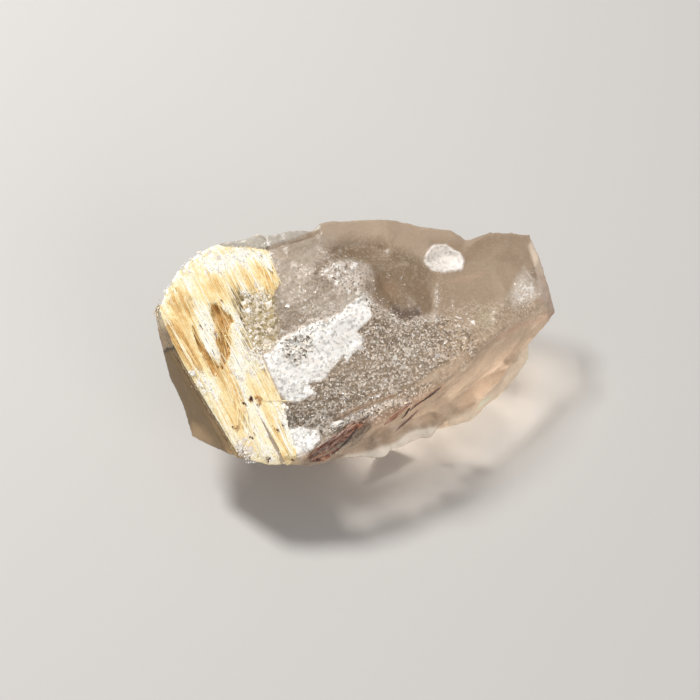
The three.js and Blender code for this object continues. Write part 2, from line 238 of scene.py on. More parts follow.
# %% [markdown]
# ## From CAD solid to fine stone
# The solid has the right shape in some thousands of flat triangles. A carved surface needs an even,
# fine grid of small faces. A voxel remesh of a merged copy gives that, and rounds the ridges by a
# fifth of a millimetre, as wear does. Numpy then moves whole arrays of vertices to carve it.

# %% Copy and remesh
VOXEL = 0.215 * MM
WELD = 0.002 * MM


def merged_copy(node, name):
    """The loose triangles of a CAD node as one welded mesh in a new object."""
    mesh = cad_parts[node].data.copy()
    mesh.name = name
    mesh.materials.clear()
    work = bmesh.new()
    work.from_mesh(mesh)
    bmesh.ops.remove_doubles(work, verts=work.verts, dist=WELD)
    work.to_mesh(mesh)
    work.free()
    return add_object(name, mesh)


def finished_mesh(piece):
    """The mesh with its modifiers applied."""
    depsgraph = bpy.context.evaluated_depsgraph_get()
    return bpy.data.meshes.new_from_object(piece.evaluated_get(depsgraph))


def settle(piece):
    """Gives the piece the mesh that its modifiers make, and takes the modifiers away."""
    fine = finished_mesh(piece)
    piece.modifiers.clear()
    piece.data = fine


def remeshed(node, name, voxel, rounds=2):
    """A new piece with the form of a CAD node and an even skin of faces of the voxel's size."""
    piece = merged_copy(node, name)
    remesh = piece.modifiers.new("even grid", "REMESH")
    remesh.mode = "VOXEL"
    remesh.voxel_size = voxel
    ease = piece.modifiers.new("ease the steps", "SMOOTH")
    ease.factor = 0.5
    ease.iterations = rounds
    settle(piece)
    piece.data.name = name
    triangles = sum(len(face.vertices) - 2 for face in piece.data.polygons)
    print(name, "has", triangles, "triangles")
    return piece


def vectors_of(items, label):
    """One row of three numbers for each item."""
    values = np.empty(len(items) * 3)
    items.foreach_get(label, values)
    return values.reshape(-1, 3)


def places(mesh):
    """Where the vertices are."""
    return vectors_of(mesh.vertices, "co")


def normals(mesh):
    """Which way the surface faces at each vertex."""
    return vectors_of(mesh.vertex_normals, "vector")


def move(mesh, points):
    """Puts the vertices at the points."""
    mesh.vertices.foreach_set("co", points.ravel())
    mesh.update()


def blurred(mesh, values, rounds):
    """Vertex values, each drawn half way to the mean of its neighbours along edges, many times."""
    ends = np.empty(len(mesh.edges) * 2, int)
    mesh.edges.foreach_get("vertices", ends)
    a, b = ends.reshape(-1, 2).T
    size = len(mesh.vertices)
    degree = np.bincount(a, minlength=size) + np.bincount(b, minlength=size)
    for _ in range(rounds):
        total = np.bincount(a, values[b], size) + np.bincount(b, values[a], size)
        values = 0.5 * values + 0.5 * total / degree
    return values


def write(mesh, name, values):
    """Stores one number per vertex, for the materials to read."""
    attribute = mesh.attributes.get(name) or mesh.attributes.new(name, "FLOAT", "POINT")
    attribute.data.foreach_set("value", values.astype(np.float32))


quartz = remeshed("quartz_crystal", "quartz_body", VOXEL)

# %% [markdown]
# ## Zones of the stone
# Each zone of the stone broke in its own way, and a few of them carry painted light and shade.
# The outlines below are where the zones are seen, in pixels of the 700-pixel frame, and each vertex
# asks how deep inside an outline it is seen. Only what faces the camera is asked, so the hidden
# back and underside keep the plain broken finish.

# %% Zones
CLEAR_FACE_NORMAL = np.array([-0.622, -0.622, 0.476])
CLEAR_FACE_POINT = np.array([-23.13, -0.1, 16.2]) * MM
# The clear face is what lies within this distance of its plane.
CLEAR_FACE_DEPTH = 0.45 * MM
# Each outline: how soft and how ragged its border is, in pixels, and its corners.
OUTLINES = {
    # Painted highlight in part: the white patch of crushed quartz, also painted white for the glint of
    # the key light on its facets.
    "bruise_and_glint": (0.8, 0.5, [
        (263, 356), (274, 350), (282, 339), (294, 333), (306, 327), (316, 322), (323, 321),
        (326, 324), (334, 317), (343, 313), (350, 305), (358, 298), (364, 298), (371, 312),
        (372, 318), (364, 325), (357, 332), (366, 339), (358, 349), (347, 362), (344, 355),
        (336, 363), (329, 373), (322, 382), (309, 384), (316, 393), (297, 402), (288, 403),
        (279, 392), (270, 374),
    ]),
    "mottle": (4.0, 1.0, [(284, 342), (300, 334), (313, 338), (310, 352), (298, 366), (284, 360)]),
    "low_bruise": (1.5, 1.0, [
        (284, 432), (302, 427), (316, 430), (321, 438), (312, 449), (298, 458), (290, 452),
    ]),
    "white_bar": (1.0, 0.3, [(330, 424), (341, 420), (345, 422), (343, 426), (331, 427)]),
    "chip": (0.8, 0.7, [
        (424, 257), (428, 250), (433, 245), (446, 244), (451, 249), (460, 252), (465, 262),
        (462, 271), (443, 274.5), (432, 270), (424, 263),
    ]),
    # Painted highlight in part: the crest's frosted face, lit from the left.
    "lit_crest": (4.0, 1.2, [
        (323, 275), (334, 264), (352, 260), (369, 266), (374, 280), (360, 288), (340, 292),
    ]),
    # Painted shade: the dark band where the top drops away behind the crest, facing away from the key
    # light.
    "back_shade_band": (9.0, 1.2, [
        (314, 276), (326, 250), (350, 240), (380, 240), (412, 252), (440, 272), (452, 296),
        (440, 304), (424, 280), (404, 268), (384, 270), (374, 278), (366, 266), (350, 262),
        (334, 268),
    ]),
    "scoop": (3.5, 0.8, [
        (374, 276), (384, 268), (404, 266), (425, 274), (434, 298), (431, 318), (416, 319),
        (400, 320), (384, 311), (372, 300),
    ]),
    # Painted shade: the dark crescent at the bottom of the scoop, laid also over a lit facet.
    "scoop_shade": (2.5, 0.4, [
        (392, 303), (404, 309), (419, 306), (422, 313), (413, 320), (401, 320), (393, 313),
    ]),
    "left_wall": (1.5, 0.3, [
        (145, 296), (157, 303), (163, 320), (172, 342), (189, 374), (207, 404), (224, 431),
        (238, 458), (228, 475), (145, 420),
    ]),
    "scoop_eye": (3.0, 0.6, [
        (383, 284), (391, 279), (399, 284), (400, 293), (391, 298), (384, 293),
    ]),
    "slope": (5.0, 1.6, [
        (288, 446), (286, 404), (300, 372), (330, 346), (352, 318), (366, 298), (374, 304),
        (402, 320), (440, 318), (466, 322), (478, 352), (444, 380), (408, 404), (372, 420),
        (332, 440),
    ]),
    "top": (9.0, 1.6, [
        (262, 250), (320, 240), (362, 262), (372, 290), (350, 312), (312, 322), (277, 342),
        (262, 300),
    ]),
    "top_light": (12.0, 1.0, [
        (262, 250), (300, 240), (330, 238), (330, 262), (304, 292), (284, 302), (274, 274),
    ]),
    "back_lip": (1.5, 0.5, [
        (206, 250), (236, 238), (262, 232), (290, 226), (318, 218), (321, 228), (296, 238),
        (272, 245), (262, 249), (224, 251),
    ]),
    "mustard": (4.0, 1.2, [
        (228, 292), (238, 284), (250, 290), (262, 284), (274, 296), (279, 322), (278, 344),
        (266, 352), (252, 352), (243, 346), (241, 330), (238, 316), (230, 306),
    ]),
    "haze": (5.0, 2.2, [
        (270, 348), (290, 330), (318, 314), (340, 302), (358, 286), (374, 288), (372, 300),
        (350, 312), (326, 328), (300, 342), (282, 356),
    ]),
    "right_block": (6.0, 1.0, [
        (430, 240), (468, 242), (492, 232), (531, 233), (556, 312), (515, 318), (478, 330),
        (440, 318), (434, 290),
    ]),
    "end_facet": (1.5, 0.3, [
        (531, 228), (544, 250), (558, 312), (548, 318), (540, 290), (530, 250),
    ]),
    "end_low": (5.0, 0.5, [(540, 276), (550, 272), (560, 312), (546, 320), (538, 300)]),
    "side": (4.0, 0.3, [
        (296, 468), (330, 439), (370, 418), (405, 400), (440, 376), (480, 347), (515, 322),
        (556, 308), (550, 340), (500, 400), (440, 436), (368, 466), (300, 478),
    ]),
    # Painted glow: the cream bar along the lower rim, lit through the stone.
    "glowing_bar": (4.0, 0.5, [
        (444, 436), (448, 420), (470, 410), (500, 382), (518, 354), (530, 340), (534, 366),
        (500, 408), (470, 434),
    ]),
    "inner_side": (4.0, 0.6, [
        (462, 410), (480, 398), (508, 372), (520, 344), (512, 344), (486, 372), (462, 396),
    ]),
    # Painted glow: the cream lumps under the ridge, lit through the stone.
    "lumps": (2.5, 0.5, [
        (340, 468), (346, 453), (372, 448), (396, 440), (412, 428), (436, 420), (440, 432),
        (425, 446), (400, 454), (368, 468),
    ]),
    # Painted highlight: a spot of white sparkle.
    "sparkle_spot": (5.0, 1.6, [
        (508, 294), (516, 284), (524, 270), (532, 276), (544, 296), (530, 304), (514, 306),
    ]),
    "low_side": (3.0, 0.5, [
        (338, 452), (356, 440), (376, 428), (404, 420), (436, 412), (448, 418), (440, 426),
        (412, 430), (396, 442), (372, 450), (346, 456),
    ]),
    "corner": (9.0, 0.6, [(140, 286), (158, 290), (172, 318), (176, 346), (162, 350), (140, 340)]),
    "corner_top": (9.0, 0.3, [(140, 286), (158, 288), (170, 314), (168, 328), (140, 324)]),
    "under_plane": (7.0, 1.4, [
        (444, 308), (476, 303), (502, 300), (517, 296), (546, 304), (540, 314), (515, 322),
        (490, 340), (470, 354), (450, 364), (440, 350), (440, 320),
    ]),
    "olive": (4.0, 1.0, [(480, 312), (492, 310), (494, 322), (484, 328), (476, 322)]),
    "sliver": (1.5, 0.3, [
        (413, 387), (428, 374), (447, 362), (462, 352), (470, 355), (457, 369), (436, 381),
    ]),
    "grey_gap": (0.8, 0.4, [
        (255, 408), (257, 408), (262.5, 419), (271.5, 434), (279, 447), (285, 461), (281, 463),
        (275, 450), (268, 436), (260.5, 421),
    ]),
    "corner_gap": (2.0, 1.0, [(231, 444), (240, 438), (247, 450), (254, 463), (238, 462)]),
    "gold": (1.0, 0.5, [
        (163, 320), (158, 302), (164, 284), (178, 268), (192, 256), (206, 247), (218, 244),
        (232, 247), (248, 247), (262, 250), (270, 250), (275, 264), (280, 284), (272, 300),
        (268, 322), (262, 342), (262, 356), (270, 374), (280, 394), (288, 424), (293, 440),
        (298, 461), (270, 466), (246, 463), (238, 455), (224, 431), (207, 404), (189, 374),
        (172, 342),
    ]),
}
# Each line: its half width in pixels and its corners.
LINES = {
    "ridge": (4.0, [
        (300, 459), (330, 438), (370, 417), (405, 399), (440, 375), (480, 346), (515, 321),
        (548, 309),
    ]),
    # Painted highlights: the bright edge, the ridge sparkle and the scoop's rim and wall are white
    # lines of glints.
    "glinting_edge": (1.3, [(462, 370), (470, 363), (481, 353), (500, 342), (515, 330)]),
    "ridge_sparkle": (2.5, [
        (312, 434), (330, 428), (352, 419), (371, 410), (390, 404), (409, 402),
    ]),
    "scoop_rim_glints": (4.0, [(364, 298), (372, 304), (385, 314), (402, 322), (416, 321), (432, 318)]),
    "scoop_wall_glints": (2.0, [(437, 284), (438, 300), (434, 327)]),
    "groove": (2.2, [(337, 419), (350, 412), (362, 407), (380, 400), (395, 396)]),
    # Painted shade: the dark line of the step under the back lip, also pressed in.
    "shaded_lip_step": (1.8, [(262, 250), (281, 245), (302, 239), (319, 233)]),
    # Painted shade: the dark arc at the edge of the band behind the crest, also pressed in.
    "shaded_arc": (2.2, [(318, 274), (321, 264), (328, 255), (344, 247), (364, 245), (384, 250)]),
    "crack_a": (1.2, [(462, 336), (463, 344), (462, 353)]),
    "crack_b": (1.2, [(477, 338), (472, 346), (467, 356)]),
    "crack_c": (1.0, [(464, 337), (475, 332), (490, 330)]),
    "dash": (1.6, [(366, 395), (377, 393)]),
    "pit": (3.5, [(402, 397), (404, 396)]),
    "red_band": (3.0, [(452, 281), (468, 278), (482, 274)]),
    "red_ridge": (3.5, [
        (308, 459), (330, 442), (350, 430), (372, 422), (392, 412), (416, 401), (442, 387),
    ]),
    "under_tip": (3.0, [(500, 336), (520, 326), (552, 315)]),
    "plane_edge": (1.5, [(450, 306), (476, 303), (502, 300), (517, 295)]),
    "cream_edge": (3.0, [(530, 246), (538, 262)]),
}


def zones_of(points, facing):
    """The share of every zone and line, from 0 to 1, at each point of the skin."""
    pixels = seen_at(points)
    seen = smooth_step(0.0, 0.25, facing @ TO_CAMERA)
    uneven = 3.0 * rough(points, 1.2 * MM, 40)
    z = {"seen": seen, "pixels": pixels, "clusters": rough(points, 1.6 * MM, 42)}
    for name, (soft, ragged, corners) in OUTLINES.items():
        z[name] = seen * smooth_step(-soft, soft, inside(pixels, corners) + ragged * uneven)
    for name, (width, course) in LINES.items():
        z[name] = seen * near_line(pixels, course, width)
    on_plane = np.abs((points - CLEAR_FACE_POINT) @ CLEAR_FACE_NORMAL) < CLEAR_FACE_DEPTH
    z["clear"] = on_plane * smooth_step(0.88, 0.96, facing @ CLEAR_FACE_NORMAL)
    z["clear"] = np.maximum(z["clear"], z["left_wall"])
    z["corner_wall"] = smooth_step(0.1, 0.35, z["corner"])
    z["glinting_edge"] = z["glinting_edge"] * np.clip(0.4 + z["clusters"], 0, 1)
    z["bruise_and_glint"] = np.maximum.reduce([z["bruise_and_glint"], z["low_bruise"], z["white_bar"]])
    for name in ("slope", "top", "lit_crest"):
        z[name] = z[name] * (1 - z["bruise_and_glint"])
    return z


# Sharp lips that the solid has and the stone has not: half width in pixels and course.
SOFT_LIPS = [
    (7.0, [(372, 300), (374, 284), (382, 270), (400, 263), (420, 268), (432, 284), (436, 300)]),
    (9.0, [(350, 452), (382, 442), (404, 428), (436, 418)]),
    (9.0, [(402, 292), (416, 308)]),
]
LIP_ROUNDS = 40


def melt(piece, weights, rounds):
    """Smooths the mesh where the weights are high, with a Smooth modifier held to a vertex group."""
    group = piece.vertex_groups.new(name="melt")
    for index in np.flatnonzero(weights > 0.05):
        group.add([int(index)], float(weights[index]), "REPLACE")
    ease = piece.modifiers.new("melt", "SMOOTH")
    ease.iterations = rounds
    ease.vertex_group = group.name
    settle(piece)
    piece.vertex_groups.clear()


lip_pixels = seen_at(places(quartz.data))
lips = sum(near_line(lip_pixels, course, width) for width, course in SOFT_LIPS)
melt(quartz, lips * (normals(quartz.data) @ TO_CAMERA > 0), LIP_ROUNDS)
points = places(quartz.data)
facing = normals(quartz.data)
stone = zones_of(points, facing)
print("share of the vertices that are clear:", round(stone["clear"].mean(), 3))
print("share of the vertices that are bruised:", round(stone["bruise_and_glint"].mean(), 3))

# %% [markdown]
# ## Relief
# The grain of a fracture runs with the stone's length. Facets of two sizes, stretched that way, make
# the sugary slope. The smooth zones only get slow swells. The crushed patch stands a little proud,
# like the plate that it is, and grooves, cracks and a step are pressed in along their lines.

# %% Relief of the stone
GRAIN_ALONG = np.array([0.86, 0.45, 0.22])
# The share of the way along the grain that is taken out of the grain's and the fibres' noise.
GRAIN_STRETCH = 0.55
FIBRE_STRETCH = 0.93
LEAST_GRAIN = 0.08
# How much each zone adds to the grain of the fracture, from smooth at 0 to sugary at 1.
GRAIN_SHARES = {
    "slope": 0.6, "top": 0.25, "lit_crest": 0.5, "scoop_rim_glints": 0.5, "scoop_wall_glints": 0.3,
    "sparkle_spot": 0.1, "groove": -0.6, "dash": -0.5, "under_plane": 0.35, "bruise_and_glint": 0.35,
    "chip": 0.2, "haze": 0.3, "mottle": 0.7, "ridge_sparkle": 0.6, "sliver": -0.6,
    "back_shade_band": 0.12, "mustard": 0.35, "back_lip": 0.05, "ridge": 0.05,
}
# Height in mm that each zone or line adds.
RELIEF = {
    "bruise_and_glint": 0.15, "lit_crest": 0.12, "groove": -0.36, "shaded_lip_step": -0.35, "shaded_arc": -0.15,
    "crack_a": -0.2, "crack_b": -0.2, "crack_c": -0.15, "dash": -0.3, "pit": -0.25,
    "sliver": -0.15, "olive": -0.15, "white_bar": 0.2, "glinting_edge": 0.15, "scoop_shade": -0.2,
    "scoop_eye": -0.2, "plane_edge": 0.08, "scoop_wall_glints": 0.06,
}


def stretched(points, share):
    """The points with a share of their way along the grain taken out, so that noise read there
    is drawn out along the grain."""
    return points - (points @ GRAIN_ALONG)[:, None] * GRAIN_ALONG * share


def added_up(weights, z):
    """The share of each named zone times its weight, all added up."""
    return sum(weight * z[name] for name, weight in weights.items())


def grain_of(z):
    """The share of grain at each point, in clusters, and none on the clear face."""
    shares = added_up(GRAIN_SHARES, z) * (1 + 0.35 * z["clusters"])
    return (1 - z["clear"]) * np.clip(LEAST_GRAIN + shares, 0.02, 1)


def relief(points, z):
    """Height in mm: slow swells, facets of two sizes by the grain, and each zone's own height."""
    broken, grain = 1 - z["clear"], grain_of(z)
    grained = stretched(points, GRAIN_STRETCH)
    height = broken * 0.06 * rough(points, 3.0 * MM, 1)
    height += grain * 0.11 * facets(grained, 0.7 * MM, 10)
    height += grain * 0.13 * facets(grained, 0.35 * MM, 20)
    height += broken * (1 - grain) * 0.05 * facets(points, 4.0 * MM, 30)
    height += z["clear"] * 0.01 * swell(points, 2.0 * MM, 7)
    height += added_up(RELIEF, z)
    height += z["scoop"] * 0.07 * facets(points, 1.9 * MM, 38)
    height += z["side"] * 0.2 * rough(stretched(points, FIBRE_STRETCH), 1.0 * MM, 60)
    depth = inside(z["pixels"], OUTLINES["chip"][2])
    rim = np.exp(-(((depth - 2.0) / 1.6) ** 2))
    height += z["chip"] * (0.25 * rim - 0.15 * smooth_step(2.5, 6, depth))
    return height


height = relief(points, stone)
points = points + facing * height[:, None] * MM
move(quartz.data, points)
print("the relief goes from", round(height.min(), 2), "to", round(height.max(), 2), "mm")

# %% [markdown]
# ## Colour of the stone
# The colour of each zone is blended into one colour per vertex, in the order of the list. Most are
# base colours, but some paint light and shade in: painted shade behind the crest, in the scoop,
# along the arc and the lip step, a painted glow on the bar and the lumps, and painted highlights on
# the crest, the white patch and the sparkling rims. The light and the smoke inside the stone do the
# rest.

# %% Colour of the stone
PLAIN = np.array([0.62, 0.52, 0.415])
# Zone, how much of it is taken, and its colour.
ZONE_COLOURS = [
    ("top", 1, (0.345, 0.295, 0.235)), ("top_light", 0.9, (0.60, 0.54, 0.46)),
    # Painted shade: the dark colour of the band behind the crest.
    ("slope", 1, (0.25, 0.205, 0.15)), ("back_shade_band", 1, (0.25, 0.19, 0.125)),
    # Painted shade: the darker colour along the arc at the edge of the band behind the crest.
    ("shaded_arc", 0.7, (0.34, 0.27, 0.21)), ("scoop", 1, (0.24, 0.175, 0.11)),
    ("scoop_eye", 0.7, (0.34, 0.23, 0.14)), ("right_block", 1, (0.43, 0.34, 0.25)),
    ("red_band", 0.4, (0.62, 0.42, 0.32)), ("cream_edge", 0.7, (0.85, 0.76, 0.65)),
    ("end_facet", 1, (0.86, 0.72, 0.58)), ("end_low", 0.8, (0.62, 0.45, 0.35)),
    ("under_plane", 0.8, (0.52, 0.43, 0.33)), ("olive", 0.7, (0.5, 0.46, 0.34)),
    ("side", 1, (0.42, 0.325, 0.235)), ("red_ridge", 0.8, (0.42, 0.25, 0.16)),
    ("under_tip", 0.8, (0.50, 0.34, 0.26)), ("inner_side", 0.8, (0.52, 0.37, 0.26)),
    # Painted glow: the cream of the bar and the lumps stands for light coming through the stone.
    ("glowing_bar", 1, (0.97, 0.80, 0.62)), ("lumps", 1, (1.0, 0.92, 0.82)),
    ("low_side", 1, (0.50, 0.37, 0.26)), ("sliver", 0.9, (0.52, 0.42, 0.32)),
    # Painted highlight in part: the near-white crest is a frosted face lit from the key light's side.
    ("lit_crest", 0.8, (0.95, 0.94, 0.92)), ("groove", 0.9, (0.33, 0.22, 0.14)),
    ("dash", 0.8, (0.35, 0.25, 0.18)), ("pit", 0.8, (0.40, 0.28, 0.20)),
    ("mustard", 0.9, (0.56, 0.44, 0.21)), ("crack_a", 0.7, (0.4, 0.33, 0.26)),
    ("crack_b", 0.7, (0.4, 0.33, 0.26)), ("crack_c", 0.6, (0.4, 0.33, 0.26)),
    # Painted shade: the darker colour along the step under the back lip.
    ("back_lip", 0.95, (0.54, 0.51, 0.455)), ("shaded_lip_step", 0.7, (0.42, 0.37, 0.30)),
    ("clear", 1, (1.0, 0.73, 0.41)), ("haze", 0.35, (0.93, 0.93, 0.91)),
    # Painted highlight in part: the white patch is crushed quartz, and its white also stands for the
    # glint of the key light on its facets.
    ("bruise_and_glint", 1, (0.97, 0.99, 1.0)), ("mottle", 0.85, (0.40, 0.39, 0.36)),
    # Painted highlights: the white of the sparkles along the ridge, the scoop's rim and wall, the
    # sparkle spot and the bright edge stands for glints.
    ("chip", 1, (0.91, 0.87, 0.84)), ("ridge_sparkle", 0.7, (0.95, 0.93, 0.90)),
    ("scoop_rim_glints", 0.6, (0.95, 0.93, 0.90)), ("sparkle_spot", 0.6, (0.95, 0.93, 0.90)),
    ("glinting_edge", 0.6, (0.95, 0.88, 0.78)), ("scoop_wall_glints", 0.25, (0.95, 0.92, 0.88)),
    # Painted shade: the near-black crescent at the bottom of the scoop.
    ("scoop_shade", 1, (0.07, 0.045, 0.03)), ("corner_wall", 1, (0.44, 0.37, 0.27)),
    ("corner_top", 0.9, (0.85, 0.78, 0.64)),
]


def colour_of(points, z):
    """One base colour per point: the plain colour, and each zone's colour laid over it in turn.
    Streaks along the side, and painted shade of little pits in the white patches and on the slope,
    then darken it."""
    colour = np.tile(PLAIN, (len(points), 1))
    for name, most, zone_colour in ZONE_COLOURS:
        colour += most * z[name][:, None] * (np.array(zone_colour) - colour)
    fibres = rough(stretched(points, FIBRE_STRETCH), 1.2 * MM, 60)
    streaks = z["side"] * (1 - z["lumps"]) * fibres
    # Painted shade: noise darkens little pits in the white patches, the chip and the slope.
    pit_shade = (0.9 * z["bruise_and_glint"] + 0.5 * z["chip"]) * smooth_step(0.2, 0.5, rough(points, 0.7 * MM, 70))
    pit_shade += 1.3 * z["slope"] * smooth_step(0.0, 0.45, rough(points, 0.8 * MM, 71)) - 0.4 * z["slope"]
    return colour * (1 + 0.08 * rough(points, 2.0 * MM, 50) + 0.45 * streaks - 0.35 * pit_shade)[:, None]


def write_colour(mesh, name, colours):
    """Stores a colour per vertex, as a vector of red, green and blue."""
    attribute = mesh.attributes.new(name, "FLOAT_VECTOR", "POINT")
    attribute.data.foreach_set("vector", np.clip(colours, 0, 1).astype(np.float32).ravel())


def frost_of(z):
    """How much the surface blurs what is seen through it."""
    frost = 0.55 * (1 - z["clear"]) + 0.2 * z["bruise_and_glint"] + 0.1 * z["scoop"] - 0.1 * z["right_block"]
    return np.clip(frost, 0, 1)


write_colour(quartz.data, "stone_colour", colour_of(points, stone))
write(quartz.data, "frost", frost_of(stone))
write(quartz.data, "grain", grain_of(stone))

# %% [markdown]
# ## Shader groups
# Two effects are used by several materials: the random tilt of microscopic facets, which makes a
# fresh fracture sparkle, and soft mottling. Each is a node group, built once.

# %% Shader groups
def node_group(name, inputs, outputs):
    """A group with named sockets: inputs and outputs are (name, socket kind, default) rows."""
    tree = bpy.data.node_groups.new(name, "ShaderNodeTree")
    for label, kind, default in inputs:
        socket = tree.interface.new_socket(name=label, in_out="INPUT", socket_type=kind)
        socket.default_value = default
    for label, kind in outputs:
        tree.interface.new_socket(name=label, in_out="OUTPUT", socket_type=kind)
    return tree, tree.nodes.new("NodeGroupInput"), tree.nodes.new("NodeGroupOutput")


def plug(tree, value, socket):
    """Links a socket to another one, or sets it to a plain value."""
    if isinstance(value, bpy.types.NodeSocket):
        tree.links.new(value, socket)
    else:
        socket.default_value = value


def step_node(tree, kind, operation, values):
    """One step of arithmetic, on numbers or on vectors."""
    node = tree.nodes.new(kind)
    node.operation = operation
    for socket, value in zip(node.inputs, values):
        plug(tree, value, socket)
    return node.outputs[0]


def math_node(tree, operation, a, b):
    return step_node(tree, "ShaderNodeMath", operation, (a, b))


def vector_node(tree, operation, a, b):
    return step_node(tree, "ShaderNodeVectorMath", operation, (a, b))


def texture_node(tree, kind, size):
    """A 3-D texture in the object's own space, with cells of the given size in mm."""
    coordinates = tree.nodes.new("ShaderNodeTexCoord")
    texture = tree.nodes.new(kind)
    scale = math_node(tree, "DIVIDE", 1 / MM, size)
    tree.links.new(coordinates.outputs["Object"], texture.inputs["Vector"])
    tree.links.new(scale, texture.inputs["Scale"])
    return texture


def build_sparkle():
    """Tilts the normal by a random amount in each cell of a 3-D Voronoi pattern."""
    tree, given, out = node_group(
        "sparkle",
        [("Cell", "NodeSocketFloat", 0.25), ("Tilt", "NodeSocketFloat", 0.5)],
        [("Normal", "NodeSocketVector"), ("Random", "NodeSocketFloat")],
    )
    cells = texture_node(tree, "ShaderNodeTexVoronoi", given.outputs["Cell"])
    centred = vector_node(tree, "SUBTRACT", cells.outputs["Color"], (0.5, 0.5, 0.5))
    tilt = tree.nodes.new("ShaderNodeVectorMath")
    tilt.operation = "SCALE"
    tree.links.new(centred, tilt.inputs[0])
    tree.links.new(given.outputs["Tilt"], tilt.inputs["Scale"])
    geometry = tree.nodes.new("ShaderNodeNewGeometry")
    tilted = vector_node(tree, "ADD", geometry.outputs["Normal"], tilt.outputs[0])
    normal = vector_node(tree, "NORMALIZE", tilted, (0, 0, 0))
    tree.links.new(normal, out.inputs["Normal"])
    parts = tree.nodes.new("ShaderNodeSeparateColor")
    tree.links.new(cells.outputs["Color"], parts.inputs[0])
    tree.links.new(parts.outputs[0], out.inputs["Random"])
    return tree


def build_mottle():
    """Soft patches from 0 to 1: noise drawn apart from its middle by the contrast."""
    tree, given, out = node_group(
        "mottle",
        [("Size", "NodeSocketFloat", 1.0), ("Contrast", "NodeSocketFloat", 1.0)],
        [("Amount", "NodeSocketFloat")],
    )
    noise = texture_node(tree, "ShaderNodeTexNoise", given.outputs["Size"])
    noise.inputs["Detail"].default_value = 4
    centred = math_node(tree, "SUBTRACT", noise.outputs["Fac"], 0.5)
    strong = math_node(tree, "MULTIPLY", centred, given.outputs["Contrast"])
    shifted = math_node(tree, "ADD", strong, 0.5)
    clamp = tree.nodes.new("ShaderNodeClamp")
    tree.links.new(shifted, clamp.inputs["Value"])
    tree.links.new(clamp.outputs[0], out.inputs["Amount"])
    return tree


sparkle = build_sparkle()
mottle = build_mottle()
print("node groups:", [group.name for group in bpy.data.node_groups])


# %% Material helpers
def new_material(name):
    """A material, its node tree and its Principled shader."""
    material = bpy.data.materials.new(name)
    material.use_nodes = True
    tree = material.node_tree
    return material, tree, tree.nodes["Principled BSDF"]


def use_group(tree, group, **values):
    """A node that runs the group with the named values."""
    node = tree.nodes.new("ShaderNodeGroup")
    node.node_tree = group
    for label, value in values.items():
        plug(tree, value, node.inputs[label])
    return node


def ramp_up(tree, value, low, high):
    """0 below low, 1 above high and even between them. Low may be the larger one."""
    node = tree.nodes.new("ShaderNodeMapRange")
    node.inputs["From Min"].default_value = low
    node.inputs["From Max"].default_value = high
    tree.links.new(value, node.inputs["Value"])
    return node.outputs["Result"]


def read(tree, name, output="Fac"):
    """What was stored under this name at each vertex."""
    node = tree.nodes.new("ShaderNodeAttribute")
    node.attribute_name = name
    return node.outputs[output]


def blend_colours(tree, amount, first, second):
    """The first colour, with the given amount of the second. A Mix node has its factor at input 0
    and its two colours at 6 and 7."""
    node = tree.nodes.new("ShaderNodeMix")
    node.data_type = "RGBA"
    for place, value in ((0, amount), (6, first), (7, second)):
        plug(tree, (*value, 1) if isinstance(value, tuple) else value, node.inputs[place])
    return node.outputs[2]


# %% [markdown]
# ## Smoky quartz
# Quartz is glass with an index of 1.544. The clear face transmits most of the light, and broken,
# milky and bruised faces less and less. The smoke is in the volume, which takes a little more blue
# than red over each millimetre. The fracture scatters light by its roughness and its tilted facets,
# and its little cells carry painted glints and painted shade in their colour.

# %% Quartz materials
SMOKE = (0.73, 0.58, 0.44)
SMOKE_DENSITY = 30
QUARTZ_IOR = 1.544
# Random numbers between which the sparkling cells turn to painted glints and to painted shade,
# and their colours.
GLINT_FROM, GLINT_TO = 0.66, 0.8
CELL_SHADE_FROM, CELL_SHADE_TO = 0.42, 0.15
GLINT_CELL_COLOUR = (1.0, 0.94, 0.86)
SHADED_CELL_COLOUR = (0.13, 0.10, 0.07)
STAIN = (0.35, 0.29, 0.24)
STAIN_SHARE = 0.12
GLOSS_OF_GLINT_CELLS = 0.6


